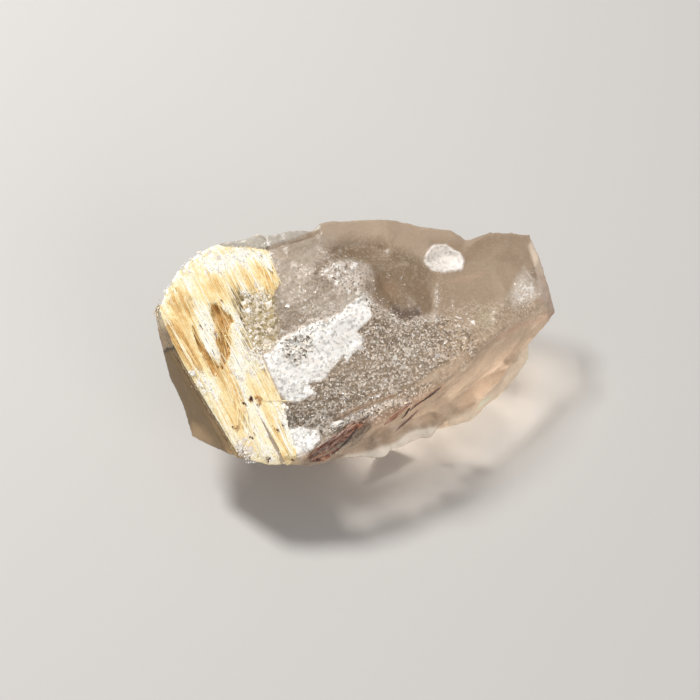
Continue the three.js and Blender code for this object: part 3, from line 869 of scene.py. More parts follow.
def quartz_material(name, transmission, rough_low, rough_high, cell, tilt, light_through):
    """See-through by the given share, with the vertex colour, frost and grain of its zone. The
    last value is how much light a shadow ray lets into the stone."""
    material, tree, shader = new_material(name)
    shader.inputs["Transmission Weight"].default_value = transmission
    shader.inputs["IOR"].default_value = QUARTZ_IOR
    grain = read(tree, "grain")
    tilt_here = math_node(tree, "MULTIPLY", grain, tilt)
    glints = use_group(tree, sparkle, Cell=cell, Tilt=tilt_here)
    tree.links.new(glints.outputs["Normal"], shader.inputs["Normal"])
    chance = glints.outputs["Random"]
    # Painted glints and painted shade: bright and dark cells of the sparkle pattern tint the colour.
    glint_share = math_node(tree, "MULTIPLY", ramp_up(tree, chance, GLINT_FROM, GLINT_TO), grain)
    cell_shade_share = math_node(tree, "MULTIPLY", ramp_up(tree, chance, CELL_SHADE_FROM, CELL_SHADE_TO), grain)
    with_glints = blend_colours(tree, glint_share, read(tree, "stone_colour", "Vector"), GLINT_CELL_COLOUR)
    with_glints_and_shade = blend_colours(tree, cell_shade_share, with_glints, SHADED_CELL_COLOUR)
    patches = use_group(tree, mottle, Size=1.2, Contrast=2.0)
    stained = math_node(tree, "MULTIPLY", patches.outputs["Amount"], STAIN_SHARE)
    colour = blend_colours(tree, stained, with_glints_and_shade, STAIN)
    tree.links.new(colour, shader.inputs["Base Color"])
    roughness = math_node(tree, "MULTIPLY", read(tree, "frost"), rough_high - rough_low)
    gloss = math_node(tree, "MULTIPLY", glint_share, GLOSS_OF_GLINT_CELLS)
    roughness = math_node(tree, "MULTIPLY", roughness, math_node(tree, "SUBTRACT", 1.0, gloss))
    tree.links.new(math_node(tree, "ADD", roughness, rough_low), shader.inputs["Roughness"])
    light_path = tree.nodes.new("ShaderNodeLightPath")
    let_through = math_node(tree, "MULTIPLY", light_path.outputs["Is Shadow Ray"], light_through)
    tree.links.new(math_node(tree, "SUBTRACT", 1.0, let_through), shader.inputs["Alpha"])
    smoke = tree.nodes.new("ShaderNodeVolumeAbsorption")
    smoke.inputs["Color"].default_value = (*SMOKE, 1)
    smoke.inputs["Density"].default_value = SMOKE_DENSITY
    tree.links.new(smoke.outputs[0], tree.nodes["Material Output"].inputs["Volume"])
    return material


# Name, transmission, least and most roughness, size in mm and tilt of the cells, light let in.
QUARTZ_FINISHES = [
    quartz_material("smoky_quartz_clear", 0.84, 0.04, 0.3, 0.25, 0.3, 0.85),
    quartz_material("smoky_quartz_broken", 0.58, 0.1, 0.7, 0.2, 0.9, 0.85),
    quartz_material("smoky_quartz_milky", 0.28, 0.15, 0.7, 0.3, 0.3, 0.8),
    # The white finish also carries painted glints, where white faces and grains stand for sparkles.
    quartz_material("bruised_quartz_and_glints", 0.13, 0.2, 0.7, 0.24, 0.6, 0.6),
]
CLEAR, BROKEN, MILKY, BRUISED_AND_GLINTS = range(4)
for material in QUARTZ_FINISHES:
    quartz.data.materials.append(material)

# %% [markdown]
# ## A finish for each face
# The zones choose the finish of every face. Where a zone's shares add up to enough, the face is
# white or milky. The border of the white is uneven, as crushed grains end one by one. The white
# also paints glints on the patch, the crest and the sparkling rims, and the milky the glow of the
# bar and the lumps.

# %% Materials by face
WHITE_SHARES = {
    "bruise_and_glint": 1, "chip": 1, "lit_crest": 0.45, "scoop_rim_glints": 0.45, "sparkle_spot": 0.5,
    "ridge_sparkle": 0.5, "glinting_edge": 0.5, "haze": 0.5, "scoop_shade": -0.8,
}
# The milky finish also carries the painted glow of the bar and the lumps.
MILKY_SHARES = {
    "glowing_bar": 1, "lumps": 1, "end_facet": 1, "back_lip": 1, "mustard": 1, "cream_edge": 0.3,
    "low_side": 1,
}
ENOUGH_WHITE = 0.6
ENOUGH = 0.5


def over_faces(mesh, values):
    """The mean of a vertex value over the corners of each face."""
    corners = np.empty(len(mesh.loops), int)
    mesh.loops.foreach_get("vertex_index", corners)
    starts = np.empty(len(mesh.polygons), int)
    mesh.polygons.foreach_get("loop_start", starts)
    counts = np.diff(np.append(starts, len(mesh.loops)))
    return np.add.reduceat(values[corners], starts) / counts


def quartz_slots(mesh, z):
    """The number of each face's finish: milky, clear, broken at the corner, and white over all."""
    points = places(mesh)
    white = added_up(WHITE_SHARES, z)
    ragged = (0.1 < white) * 0.45 * rough(points, 0.5 * MM, 44)
    corner = (0.02 < z["corner"]) * (z["corner"] + 0.3 * rough(points, 0.5 * MM, 47))
    slots = np.where(over_faces(mesh, added_up(MILKY_SHARES, z)) > ENOUGH, MILKY, BROKEN)
    slots = np.where(over_faces(mesh, z["clear"]) > ENOUGH, CLEAR, slots)
    slots = np.where(over_faces(mesh, corner) > ENOUGH, BROKEN, slots)
    return np.where(over_faces(mesh, white + ragged) > ENOUGH_WHITE, BRUISED_AND_GLINTS, slots)


quartz.data.polygons.foreach_set("material_index", quartz_slots(quartz.data, stone))
quartz.data.polygons.foreach_set("use_smooth", np.ones(len(quartz.data.polygons), bool))
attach(quartz, BODY)
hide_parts("quartz_crystal")
counts = np.bincount(quartz_slots(quartz.data, stone), minlength=4)
print("clear, broken, milky and bruised faces:", counts.tolist())

# %% [markdown]
# ## The golden sheaf
# Thousands of rutile needles grew side by side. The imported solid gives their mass. It is remeshed
# like the stone and swollen into the quartz by the clearance, so that no air shows between the two,
# and it is grooved along its needles. The needles themselves come after it, one by one.

# %% Frame of the sheaf
SHEAF_ORIGIN = np.array([-21.734, 0.699, 16.5]) * MM
SHEAF_UP = unit(np.array([0.036, -0.382, 0.923]))
SHEAF_ACROSS = unit(np.cross(SHEAF_UP, [0.463, -0.805, -0.368]))
SHEAF_ALONG = np.cross(SHEAF_ACROSS, SHEAF_UP)
SHEAF_AXES = np.stack([SHEAF_ALONG, SHEAF_ACROSS, SHEAF_UP])
CLEARANCE = 0.3 * MM


def in_sheaf(points):
    """A point's distances along the needles, across them and above the golden plane."""
    return (points - SHEAF_ORIGIN) @ SHEAF_AXES.T


def from_sheaf(local):
    """The point at such distances."""
    return SHEAF_ORIGIN + local @ SHEAF_AXES


# %% Zones of the gold
# Hollows of the golden face: depth in mm and corners in pixels.
HOLLOWS = [
    (0.50, [
        (208, 303), (213, 305), (221, 307), (230, 315), (234, 321), (230, 327), (228, 333),
        (231, 340), (230, 350), (227, 362), (222, 369), (220, 364), (222, 354), (218, 342),
        (219, 332), (215, 322), (211, 313),
    ]),
    (0.42, [
        (193, 327), (198, 337), (204, 347), (211, 357), (219, 367), (217, 376), (212, 375),
        (205, 363), (198, 346), (193, 334),
    ]),
]
# Each zone: how soft and how ragged its border is, in pixels, the tone of the rutile, how frosty
# it is, and its corners in pixels. Later zones lie over earlier ones, and the hollows over all.
GOLD_ZONES = [
    (7.0, 1.0, 0.90, 0.45, [
        (154, 302), (170, 274), (190, 254), (212, 244), (238, 246), (232, 268), (204, 276),
        (186, 294), (172, 322),
    ]),
    (2.5, 0.8, 0.62, 0.05, [
        (176, 288), (181, 286), (190, 300), (200, 322), (196, 326), (186, 308),
    ]),
    (3.0, 1.0, 0.52, 0.05, [(210, 277), (218, 274), (222, 284), (220, 291), (212, 290)]),
    (4.0, 1.5, 0.72, 0.45, [
        (222, 276), (236, 270), (252, 272), (254, 290), (240, 296), (226, 292),
    ]),
    (3.0, 1.0, 0.60, 0.05, [
        (166, 300), (175, 294), (184, 310), (192, 328), (184, 338), (172, 320),
    ]),
    (2.0, 0.4, 0.38, 0.00, [
        (165, 322), (172, 318), (187, 340), (203, 364), (207, 379), (198, 379), (180, 355),
        (168, 336),
    ]),
    (3.0, 1.5, 0.66, 0.25, [(244, 276), (256, 268), (266, 272), (272, 296), (252, 298)]),
    (3.0, 1.0, 0.56, 0.10, [
        (253, 256), (264, 252), (276, 270), (282, 290), (276, 304), (264, 286),
    ]),
    (2.0, 1.2, 1.00, 0.95, [
        (204, 270), (212, 264), (224, 256), (228, 251), (241, 248), (268, 251), (272, 266),
        (264, 268), (254, 258), (241, 260), (238, 267), (228, 271), (212, 274), (204, 275),
    ]),
    (1.5, 1.2, 0.97, 0.90, [
        (196, 310), (204, 304), (210, 314), (217, 332), (217, 345), (222, 356), (218, 363),
        (210, 354), (202, 342), (197, 330),
    ]),
    (1.5, 1.4, 0.97, 0.85, [
        (220, 301), (228, 305), (240, 320), (243, 334), (240, 346), (232, 348), (232, 336),
        (230, 320),
    ]),
    (3.0, 1.8, 1.00, 0.90, [
        (230, 350), (244, 346), (264, 350), (266, 366), (258, 376), (247, 381), (249, 402),
        (241, 404), (237, 390), (233, 374), (228, 366),
    ]),
    (2.0, 0.5, 0.64, 0.00, [
        (218, 372), (228, 368), (235, 380), (238, 396), (243, 416), (246, 432), (238, 428),
        (226, 406), (216, 386),
    ]),
    (1.5, 1.8, 1.00, 0.95, [
        (194, 364), (203, 369), (213, 381), (222, 397), (217, 399), (206, 391), (197, 378),
    ]),
    (3.0, 1.5, 0.72, 0.20, [
        (248, 382), (256, 374), (264, 370), (276, 396), (270, 402), (254, 399),
    ]),
    (3.0, 1.5, 0.90, 0.50, [
        (246, 406), (258, 404), (272, 440), (278, 462), (250, 462), (240, 440),
    ]),
    (2.0, 0.6, 0.70, 0.10, [
        (263, 404), (270, 404), (284, 432), (292, 459), (284, 461), (272, 434),
    ]),
    (1.5, 1.0, 0.98, 0.70, [
        (271, 402), (284, 402), (291, 424), (297, 448), (291, 448), (280, 424),
    ]),
]
PLAIN_TONE = 0.80
PLAIN_FROST = 0.30
HOLLOW_TONE = 0.38


def hollow_at(pixels):
    """Depth in mm to which the golden face is hollowed where a pixel sees it."""
    uneven = 2.2 * rough(np.column_stack([pixels, 0 * pixels[:, 0]]), 5.0, 45)
    return sum(
        deep * smooth_step(-1.2, 2.2, inside(pixels, corners) + uneven) for deep, corners in HOLLOWS
    )


def golden_fields(points):
    """Tone and frost of the rutile at points of the golden face. The tone runs in bands along the
    needles. The frost is a share with ragged borders, and draws the tone to white."""
    pixels = seen_at(points)
    uneven = 3.0 * rough(points, 1.0 * MM, 41)
    tone = np.full(len(points), PLAIN_TONE)
    frost = np.full(len(points), PLAIN_FROST)
    for soft, ragged, zone_tone, zone_frost, corners in GOLD_ZONES:
        share = smooth_step(-soft, soft, inside(pixels, corners) + ragged * uneven)
        tone += share * (zone_tone - tone)
        frost += share * (zone_frost - frost)
    strands = in_sheaf(points) * np.array([0.08, 1.0, 0.0])
    hollow = smooth_step(0.05, 0.2, hollow_at(pixels))
    tone += 0.24 * rough(strands, 0.6 * MM, 9) + 0.10 * rough(points, 1.6 * MM, 14)
    frost = smooth_step(0.38, 0.78, frost + 0.38 * rough(points, 0.6 * MM, 61)) * (1 - hollow)
    tone += frost * (1.02 - tone)
    deep_tone = HOLLOW_TONE + 0.2 * rough(strands, 0.4 * MM, 12) + 0.1 * rough(points, 0.7 * MM, 13)
    tone += hollow * (deep_tone - tone)
    return np.clip(tone, 0, 1.05), frost


# %% Height of the golden face
GRID_STEP = 0.25 * MM
ALONG_SPAN = np.arange(-9 * MM, 24 * MM, GRID_STEP)
ACROSS_SPAN = np.arange(-2.5 * MM, 17 * MM, GRID_STEP)
START_HEIGHT = 5 * MM


def heights_over(targets):
    """Drops a grid of points onto solids, square to the golden plane: Shrinkwrap in Project mode
    finds where each line first meets a solid. The gaps between the solids are then closed by
    taking the highest neighbour and then the lowest, three times each, and last the mean."""
    along, across = np.meshgrid(ALONG_SPAN, ACROSS_SPAN, indexing="ij")
    start = np.stack([along, across, np.full(along.shape, START_HEIGHT)], 2).reshape(-1, 3)
    best = np.full(along.shape, -START_HEIGHT)
    for target in targets:
        mesh = bpy.data.meshes.new("grid")
        mesh.from_pydata(start.tolist(), [], [])
        grid = add_object("grid", mesh)
        axes = Matrix([(*row, 0) for row in SHEAF_AXES.T] + [(0, 0, 0, 1)])
        grid.matrix_world = Matrix.Translation(SHEAF_ORIGIN) @ axes
        drop = grid.modifiers.new("drop", "SHRINKWRAP")
        drop.wrap_method = "PROJECT"
        drop.target = target
        drop.use_project_z = True
        drop.use_negative_direction = True
        drop.use_positive_direction = False
        landed = places(finished_mesh(grid))[:, 2].reshape(along.shape)
        landed[landed > START_HEIGHT - 1e-6] = -START_HEIGHT
        best = np.maximum(best, landed)
        bpy.data.objects.remove(grid)
    rows, columns = best.shape
    for pick in (np.max, np.max, np.max, np.min, np.min, np.min, np.mean):
        padded = np.pad(best, 1, mode="edge")
        around = [padded[i : i + rows, j : j + columns] for i in range(3) for j in range(3)]
        best = pick(around, axis=0)
    return best


solids = [merged_copy("golden_rutile_sheaf", "a"), merged_copy("quartz_crystal", "b")]
golden_height = heights_over(solids)
for solid in solids:
    bpy.data.objects.remove(solid)
print("height of the golden face in mm:", round(golden_height.max() / MM, 2))


def height_at(along, across):
    """The golden face's height between the grid's corners, by the four nearest of them."""
    i = np.clip((along - ALONG_SPAN[0]) / GRID_STEP, 0, len(ALONG_SPAN) - 1.001)
    j = np.clip((across - ACROSS_SPAN[0]) / GRID_STEP, 0, len(ACROSS_SPAN) - 1.001)
    a, b = i.astype(int), j.astype(int)
    u, v = i - a, j - b
    h = golden_height
    near = h[a, b] * (1 - v) + h[a, b + 1] * v
    far = h[a + 1, b] * (1 - v) + h[a + 1, b + 1] * v
    return near * (1 - u) + far * u


# %% [markdown]
# ## Body of the sheaf
# What lies deep is swollen into the quartz, but never past the clear face. What lies open is ribbed
# along the needles, and pressed sideways where it meets quartz. Where the face isn't golden, the
# body is quartz that grew over it.

# %% Body of the sheaf
SHEAF_VOXEL = 0.16 * MM
# Depth under the face at which the body starts to be buried, and at which it is.
OPEN_DEPTH, BURIED_DEPTH = 0.25 * MM, 0.7 * MM
# Where the sheaf meets quartz on the face, in pixels, and how far it is pressed against it there.
QUARTZ_BORDER = [(264, 244), (283, 270), (276, 320), (262, 350), (284, 396), (304, 452)]
SEAM = 0.55 * MM
# The rim of the sheaf's back end, which is worn round, and its half width in pixels.
BACK_END = [(236, 240), (252, 234), (268, 238)]
BACK_END_WIDTH = 6.0
BACK_END_ROUNDS = 30
# The sheaf is kept right of this column, and what shows above this row is its back end.
LEFTMOST_PX = 158.5
BACK_ROW_PX = 318
# Along its left border the sheaf is quartz down to this depth. Elsewhere only what faces the
# camera, or hardly away from it, can be.
LEFT_EDGE_DEPTH = 0.8 * MM
HARDLY_AWAY = -0.15

sheaf = remeshed("golden_rutile_sheaf", "golden_sheaf_body", SHEAF_VOXEL, rounds=6)
points = places(sheaf.data)
facing = normals(sheaf.data)
local = in_sheaf(points)
below = height_at(local[:, 0], local[:, 1]) - local[:, 2]
buried = smooth_step(OPEN_DEPTH, BURIED_DEPTH, below)
gilt = zones_of(points, facing)
golden = gilt["gold"] * (1 - gilt["grey_gap"]) * (1 - gilt["corner_gap"]) * (1 - gilt["mustard"])
left_edge = (inside(gilt["pixels"], OUTLINES["gold"][2]) < 0) & (below < LEFT_EDGE_DEPTH)
left_edge &= gilt["pixels"][:, 1] > BACK_ROW_PX
bare = np.where(left_edge, 1, (facing @ TO_CAMERA > HARDLY_AWAY) * (1 - golden))

tone, frost = golden_fields(points)
strands = local * np.array([0.06, 1.0, 1.0])
ribs = 0.07 * rough(strands, 0.5 * MM, 3) + 0.16 * frost * facets(points, 0.45 * MM, 15)
ribs = golden * ribs * MM + (1 - golden) * relief(points, gilt) * 0.6 * MM
sunk = (hollow_at(gilt["pixels"]) + 0.08) * golden * MM
to_clear_face = (CLEAR_FACE_POINT - points) @ CLEAR_FACE_NORMAL
push = np.clip(to_clear_face - 0.12 * MM, 0, CLEARANCE + 0.06 * MM)
points = points + facing * (buried * push + ribs * (1 - buried))[:, None]
points = points - (sunk * (1 - buried))[:, None] * SHEAF_UP

smooth_facing = np.stack([blurred(sheaf.data, column, 8) for column in facing.T], 1)
sideways = smooth_facing - (smooth_facing @ SHEAF_UP)[:, None] * SHEAF_UP
against_quartz = smooth_step(16, 8, from_line(gilt["pixels"], QUARTZ_BORDER))
reach = SEAM * against_quartz * smooth_step(0.1, 0.4, sideways @ SHEAF_ACROSS) * (1 - buried)
points = points + reach[:, None] * sideways
points[:, 0] += np.clip(LEFTMOST_PX - gilt["pixels"][:, 0], 0, 8) * PX
move(sheaf.data, points)
back_end = near_line(gilt["pixels"], BACK_END, BACK_END_WIDTH)
melt(sheaf, back_end * smooth_step(0.3, 0, golden) * (1 - buried), BACK_END_ROUNDS)
write_colour(sheaf.data, "stone_colour", colour_of(places(sheaf.data), gilt))
write(sheaf.data, "frost", frost_of(gilt))
write(sheaf.data, "grain", grain_of(gilt))
write(sheaf.data, "tone", tone - 0.06 * golden)

# %% [markdown]
# ## Needles
# A needle is a thin prism. Its profile, a flattened ring of four points, is carried along a path
# that follows the stone. All needles are worked out together, as one array of needles, stations
# and ring points, and go into one mesh.

# %% Needle mesh
RING = 4
STATIONS = 5


def needle_mesh(name, path, radius, flat):
    """path is needles x stations x 3. Each ring point is the path's point plus the radius times a
    cosine across and a sine up, in a frame square to the path. The ends are closed and pointed."""
    count, stations = path.shape[:2]
    forward = unit(np.gradient(path, axis=1))
    across = unit(np.cross(forward, SHEAF_UP))
    up = np.cross(across, forward)
    turn = np.linspace(0, 2 * np.pi, RING, endpoint=False)
    share = np.linspace(0, 1, stations)
    taper = np.clip(np.minimum(share, 1 - share) * 6, 0.25, 1)
    size = (radius[:, None] * taper)[:, :, None, None]
    ring = np.cos(turn)[:, None] * across[:, :, None] + flat * np.sin(turn)[:, None] * up[:, :, None]
    points = (path[:, :, None] + size * ring).reshape(-1, 3)
    index = np.arange(count * stations * RING).reshape(count, stations, RING)
    after = np.roll(index, -1, axis=2)
    quads = np.stack([index[:, :-1], after[:, :-1], after[:, 1:], index[:, 1:]], 3).reshape(-1, 4)
    ends = np.concatenate([index[:, 0, ::-1], index[:, -1]])
    mesh = bpy.data.meshes.new(name)
    mesh.from_pydata(points.tolist(), [], quads.tolist() + ends.tolist())
    mesh.validate()
    triangles = len(quads) * 2 + len(ends) * (RING - 2)
    print(name, "has", count, "needles and", triangles, "triangles")
    return add_object(name, mesh)


# %% Golden needles
# Where the needles' middles may lie, in mm along and across the sheaf.
NEEDLE_SPAN = np.array([[-5.0, -1.5], [24.0, 14.5]])
LOWEST_NEEDLE = 0.9 * MM
SHORTEST_NEEDLE = 0.4
# How deep a hollow may be, in mm, under a needle, and how many needles may bridge the deeper ones.
HOLLOW_KEPT = 0.1
BRIDGING = 0.1
# The share of the needles that is kept over the zones where quartz covers or parts the gold, and
# that is left out where the gold is fully frosted.
THIN_ZONES = (("mustard", 0.12), ("grey_gap", 0.1), ("corner_gap", 0.1))
FROST_HIDES = 0.6
TRIES = 5
SAMPLES = 41
draw = np.random.default_rng(11)


def on_golden_face(along, across, rise):
    """Points at distances in mm along and across the sheaf, and in mm above its face."""
    height = height_at(along * MM, across * MM) + rise * MM
    local = np.stack([along * MM, across * MM, height], -1)
    return from_sheaf(local.reshape(-1, 3)).reshape(local.shape)


def seen_inside(points, name):
    """How deep points are seen inside one of the outlines, in pixels."""
    return inside(seen_at(points.reshape(-1, 3)), OUTLINES[name][2]).reshape(points.shape[:-1])


def spread_needles(count, reach, lift, width, lean):
    """Needles with random middles on the golden face, each cut where it would leave the gold's
    outline or cross a hollow. Few are kept where quartz covers, parts or frosts the gold. Reach
    is the least and greatest length, lift the height over the face and width the half width, all
    in mm. Lean is how far a needle strays from the sheaf's direction."""
    middle = draw.uniform(*NEEDLE_SPAN, (count * TRIES, 2))
    start = on_golden_face(middle[:, 0], middle[:, 1], 0.0)
    kept = (seen_inside(start, "gold") > 0) & (hollow_at(seen_at(start)) < HOLLOW_KEPT)
    for name, share in THIN_ZONES:
        kept &= (seen_inside(start, name) < 0) | (draw.uniform(0, 1, len(start)) < share)
    kept &= draw.uniform(0, 1, len(start)) > FROST_HIDES * golden_fields(start)[1]
    middle = middle[kept][:count]
    count = len(middle)
    length = reach[0] + (reach[1] - reach[0]) * draw.uniform(0, 1, count) ** 2
    slope = draw.normal(0, lean, count)
    share = np.linspace(-0.5, 0.5, SAMPLES)
    a = middle[:, :1] + share * length[:, None]
    c = middle[:, 1:] + share * length[:, None] * slope[:, None]
    face = on_golden_face(a, c, np.zeros(a.shape))
    held = (seen_inside(face, "gold") > 0.3) & (height_at(a * MM, c * MM) > -LOWEST_NEEDLE)
    bridging = np.where(draw.uniform(0, 1, (count, 1)) < BRIDGING, 1.0, HOLLOW_KEPT)
    held &= hollow_at(seen_at(face.reshape(-1, 3))).reshape(a.shape) < bridging
    held &= seen_inside(face, "mustard") < draw.uniform(0, 12, (count, 1))
    held &= seen_inside(face, "grey_gap") < 1
    half = SAMPLES // 2
    stop = np.ones((count, 1), bool)
    first = half - np.argmax(np.concatenate([~held[:, half::-1], stop], 1), 1) + 1
    last = half + np.argmax(np.concatenate([~held[:, half:], stop], 1), 1) - 1
    start, end = share[np.clip(first, 0, SAMPLES - 1)], share[np.clip(last, 0, SAMPLES - 1)]
    steps = start[:, None] + (end - start)[:, None] * np.linspace(0, 1, STATIONS)
    a = middle[:, :1] + steps * length[:, None]
    c = middle[:, 1:] + steps * length[:, None] * slope[:, None]
    rise = np.repeat(draw.uniform(*lift, count)[:, None], STATIONS, 1)
    path = on_golden_face(a, c, rise)
    radius = (width[0] + (width[1] - width[0]) * draw.uniform(0, 1, count) ** 2) * MM
    good = (end - start) * length > SHORTEST_NEEDLE
    return path[good], radius[good]


path, radius = spread_needles(
    count=5000, reach=(0.8, 11), lift=(-0.10, 0.06), width=(0.025, 0.085), lean=0.05
)
offset = 0.11 * draw.standard_normal(len(radius))
golden_needles = needle_mesh("golden_needles", path, radius, flat=0.7)
needle_tone = golden_fields(places(golden_needles.data))[0] + np.repeat(offset, STATIONS * RING)
write(golden_needles.data, "tone", needle_tone)

# %% [markdown]
# ## Red streak
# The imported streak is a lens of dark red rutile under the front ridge. It is roughened like the
# fracture round it, and gets its own needles later.

# %% Red streak
# The streak is red where uneven noise stays under this share, and within this outline.
RED_SHARE = 0.16
STREAK_VOXEL = 0.12 * MM
RED_ZONE = [
    (300, 470), (311, 453), (325, 441), (340, 428), (357, 415), (371, 414), (366, 422), (352, 438),
    (334, 454), (318, 467),
]
STREAK_OUT = np.array([0.45, -0.88, 0.1])
streak = remeshed("red_rutile_streak", "red_streak_body", STREAK_VOXEL, rounds=4)
points = places(streak.data)
facing = normals(streak.data)
sides = smooth_step(0.75, 0.2, facing @ STREAK_OUT)
fibrous = stretched(points, FIBRE_STRETCH)
ridged = 0.16 * rough(fibrous, 0.6 * MM, 5) + 0.1 * facets(points, 0.5 * MM, 6) - 0.1
points = points + facing * (ridged * MM * (1 - sides) + 1.4 * CLEARANCE * sides)[:, None]
move(streak.data, points)
streaked = zones_of(points, facing)
fibres = 0.9 * rough(fibrous, 0.3 * MM, 5) + 0.3 * rough(points, 0.6 * MM, 7)
write(streak.data, "tone", np.clip(0.5 + fibres, 0, 1))

# %% [markdown]
# ## Placing things by pixel
# Some needles and grains can only be placed by where they show. The skin of the stone, the vertices
# that face the camera, is laid out in cells of two pixels, and each cell keeps the vertex that is
# nearest to the camera. A thing goes where its pixel's line of sight meets the plane of that
# vertex, so it sits on the surface from every side. A pixel beside the stone is drawn back to it.
# Over the gold the needles cover the body, so things are lifted there by about their thickness.

# %% Skin of the stone
CELL_PX = 2
# How far beside the stone a pixel still finds it, in cells.
DRAWN_BACK = 20
NEEDLE_COVER = 0.26 * MM
DEPTH_GIVE = 0.25 * MM


def skin_of(pieces):
    """Points, directions and pixels of the vertices that face the camera, the nearest ones last."""
    points = np.concatenate([places(piece.data) for piece in pieces])
    facing = np.concatenate([normals(piece.data) for piece in pieces])
    order = np.argsort(points @ TO_CAMERA)
    order = order[facing[order] @ TO_CAMERA > 0.15]
    return points[order], facing[order], seen_at(points[order])


SKIN_POINTS, SKIN_NORMALS, SKIN_PIXELS = skin_of([quartz, sheaf, streak])
skin_table = np.full((FRAME_PX // CELL_PX, FRAME_PX // CELL_PX), -1)
skin_cell = (SKIN_PIXELS / CELL_PX).astype(int)
skin_table[skin_cell[:, 1], skin_cell[:, 0]] = np.arange(len(SKIN_POINTS))
on_stone = skin_table >= 0
for _ in range(DRAWN_BACK):
    for step in ((0, 1), (0, -1), (1, 0), (-1, 0)):
        skin_table = np.where(skin_table < 0, np.roll(skin_table, step, (0, 1)), skin_table)


def on_skin(pixels):
    """Place and outward direction of the stone at each pixel."""
    cell = (pixels / CELL_PX).astype(int)
    nearest = skin_table[cell[:, 1], cell[:, 0]]
    pixels = np.where(on_stone[cell[:, 1], cell[:, 0]][:, None], pixels, SKIN_PIXELS[nearest])
    outward = SKIN_NORMALS[nearest]
    sideways = (pixels[:, :1] - FRAME_PX / 2) / FOCAL_PX * np.array([1.0, 0, 0])
    ray = sideways + (FRAME_PX / 2 - pixels[:, 1:]) / FOCAL_PX * UP_IN_VIEW - TO_CAMERA
    from_eye = SKIN_POINTS[nearest] - EYE
    depth = -(from_eye @ TO_CAMERA)
    to_plane = np.sum(from_eye * outward, 1) / np.sum(ray * outward, 1)
    depth = np.clip(to_plane, depth - DEPTH_GIVE, depth + DEPTH_GIVE)
    over_gold = smooth_step(-1, 3, inside(pixels, OUTLINES["gold"][2]))
    over_gold = over_gold * smooth_step(0.2, 0, hollow_at(pixels))
    return EYE + depth[:, None] * ray + outward * (NEEDLE_COVER * over_gold)[:, None], outward


# %% [markdown]
# ## Grains of crushed quartz and glints
# White grains lie where the stone was knocked: over the gold, along the ridges and round the white
# patch. Many small ones over the slope, and a short row by the scoop, are painted glints. Each is an
# eight-sided grain of its own size and turn, sunk by half into the surface.

# %% Grains
# Where they lie: pixel, radius in pixels, how many, and their smallest and largest size in mm.
GRAIN_SPOTS = [
    (233, 259, 2.5, 7, 0.7, 1.4), (245, 254, 2, 5, 0.6, 1.1), (221, 267, 3, 7, 0.6, 1.2),
    (208, 272, 2, 5, 0.4, 0.8), (259, 255, 2, 4, 0.5, 0.9), (263, 262, 2, 4, 0.5, 0.9),
    (267, 268, 1.5, 3, 0.4, 0.7), (249, 312, 1.5, 4, 0.5, 0.9), (243, 256, 13, 120, 0.10, 0.45),
    (272, 255, 3, 8, 0.2, 0.5), (276, 268, 4, 14, 0.1, 0.35), (194, 372, 3, 90, 0.08, 0.4),
    (201, 384, 4, 110, 0.08, 0.45), (206, 392, 3, 40, 0.08, 0.35), (250, 312, 9, 70, 0.06, 0.3),
    (262, 352, 12, 200, 0.08, 0.35), (256, 330, 12, 150, 0.05, 0.25), (262, 300, 9, 70, 0.06, 0.3),
    (246, 294, 4, 60, 0.1, 0.4), (402, 280, 6, 60, 0.06, 0.25), (412, 283, 4, 40, 0.06, 0.2),
    (436, 292, 3, 50, 0.06, 0.2), (437, 318, 4, 50, 0.06, 0.2), (382, 300, 6, 70, 0.05, 0.2),
    (392, 311, 6, 70, 0.05, 0.2), (388, 276, 5, 50, 0.05, 0.2), (266, 243, 3, 30, 0.1, 0.35),
    (276, 454, 3, 24, 0.05, 0.2), (268, 436, 2, 12, 0.05, 0.15), (240, 447, 6, 140, 0.06, 0.3),
    (250, 457, 6, 120, 0.05, 0.25), (285, 372, 9, 80, 0.05, 0.2), (222, 400, 7, 40, 0.05, 0.15),
    (168, 322, 3, 30, 0.06, 0.25), (186, 262, 9, 60, 0.06, 0.3), (166, 288, 6, 50, 0.06, 0.25),
    # Painted glint: the spots at (374, 281), (374, 285) and (375, 289) make a bright sliver by the
    # scoop.
    (345, 276, 18, 260, 0.05, 0.22), (374, 281, 0.4, 4, 0.25, 0.4), (374, 285, 0.4, 4, 0.25, 0.4),
    (375, 289, 0.4, 4, 0.2, 0.35), (368, 300, 6, 80, 0.05, 0.25), (395, 318, 10, 120, 0.05, 0.2),
    (416, 322, 10, 90, 0.05, 0.2), (453, 303, 3, 16, 0.1, 0.3), (455, 312, 6, 40, 0.05, 0.15),
    (437, 300, 4, 90, 0.06, 0.22), (438, 318, 4, 50, 0.05, 0.2), (524, 291, 10, 300, 0.08, 0.3),
    (531, 272, 7, 90, 0.06, 0.25), (480, 300, 12, 60, 0.05, 0.15), (318, 438, 8, 60, 0.05, 0.25),
    (340, 428, 6, 50, 0.05, 0.25), (370, 414, 8, 50, 0.05, 0.2), (400, 398, 8, 40, 0.05, 0.2),
    (275, 250, 6, 30, 0.05, 0.15), (360, 330, 12, 120, 0.05, 0.25), (350, 312, 14, 200, 0.05, 0.22),
    (310, 326, 14, 140, 0.05, 0.2), (310, 300, 30, 160, 0.04, 0.12),
    # Painted glints in part: the three broad spots over the slope scatter white grains for its
    # sparkle.
    (390, 352, 42, 1700, 0.09, 0.32), (345, 402, 38, 1300, 0.09, 0.32),
    (425, 348, 30, 800, 0.08, 0.28), (300, 360, 24, 260, 0.05, 0.18), (437, 268, 6, 20, 0.08, 0.2),
]
FROST_TRIES = 14000
FROST_SPAN = np.array([[152, 240], [302, 468]])
FROST_SIZES = (0.06, 0.30)
CORNER_DIRECTIONS = np.array([sign * axis for axis in np.eye(3) for sign in (1, -1)])
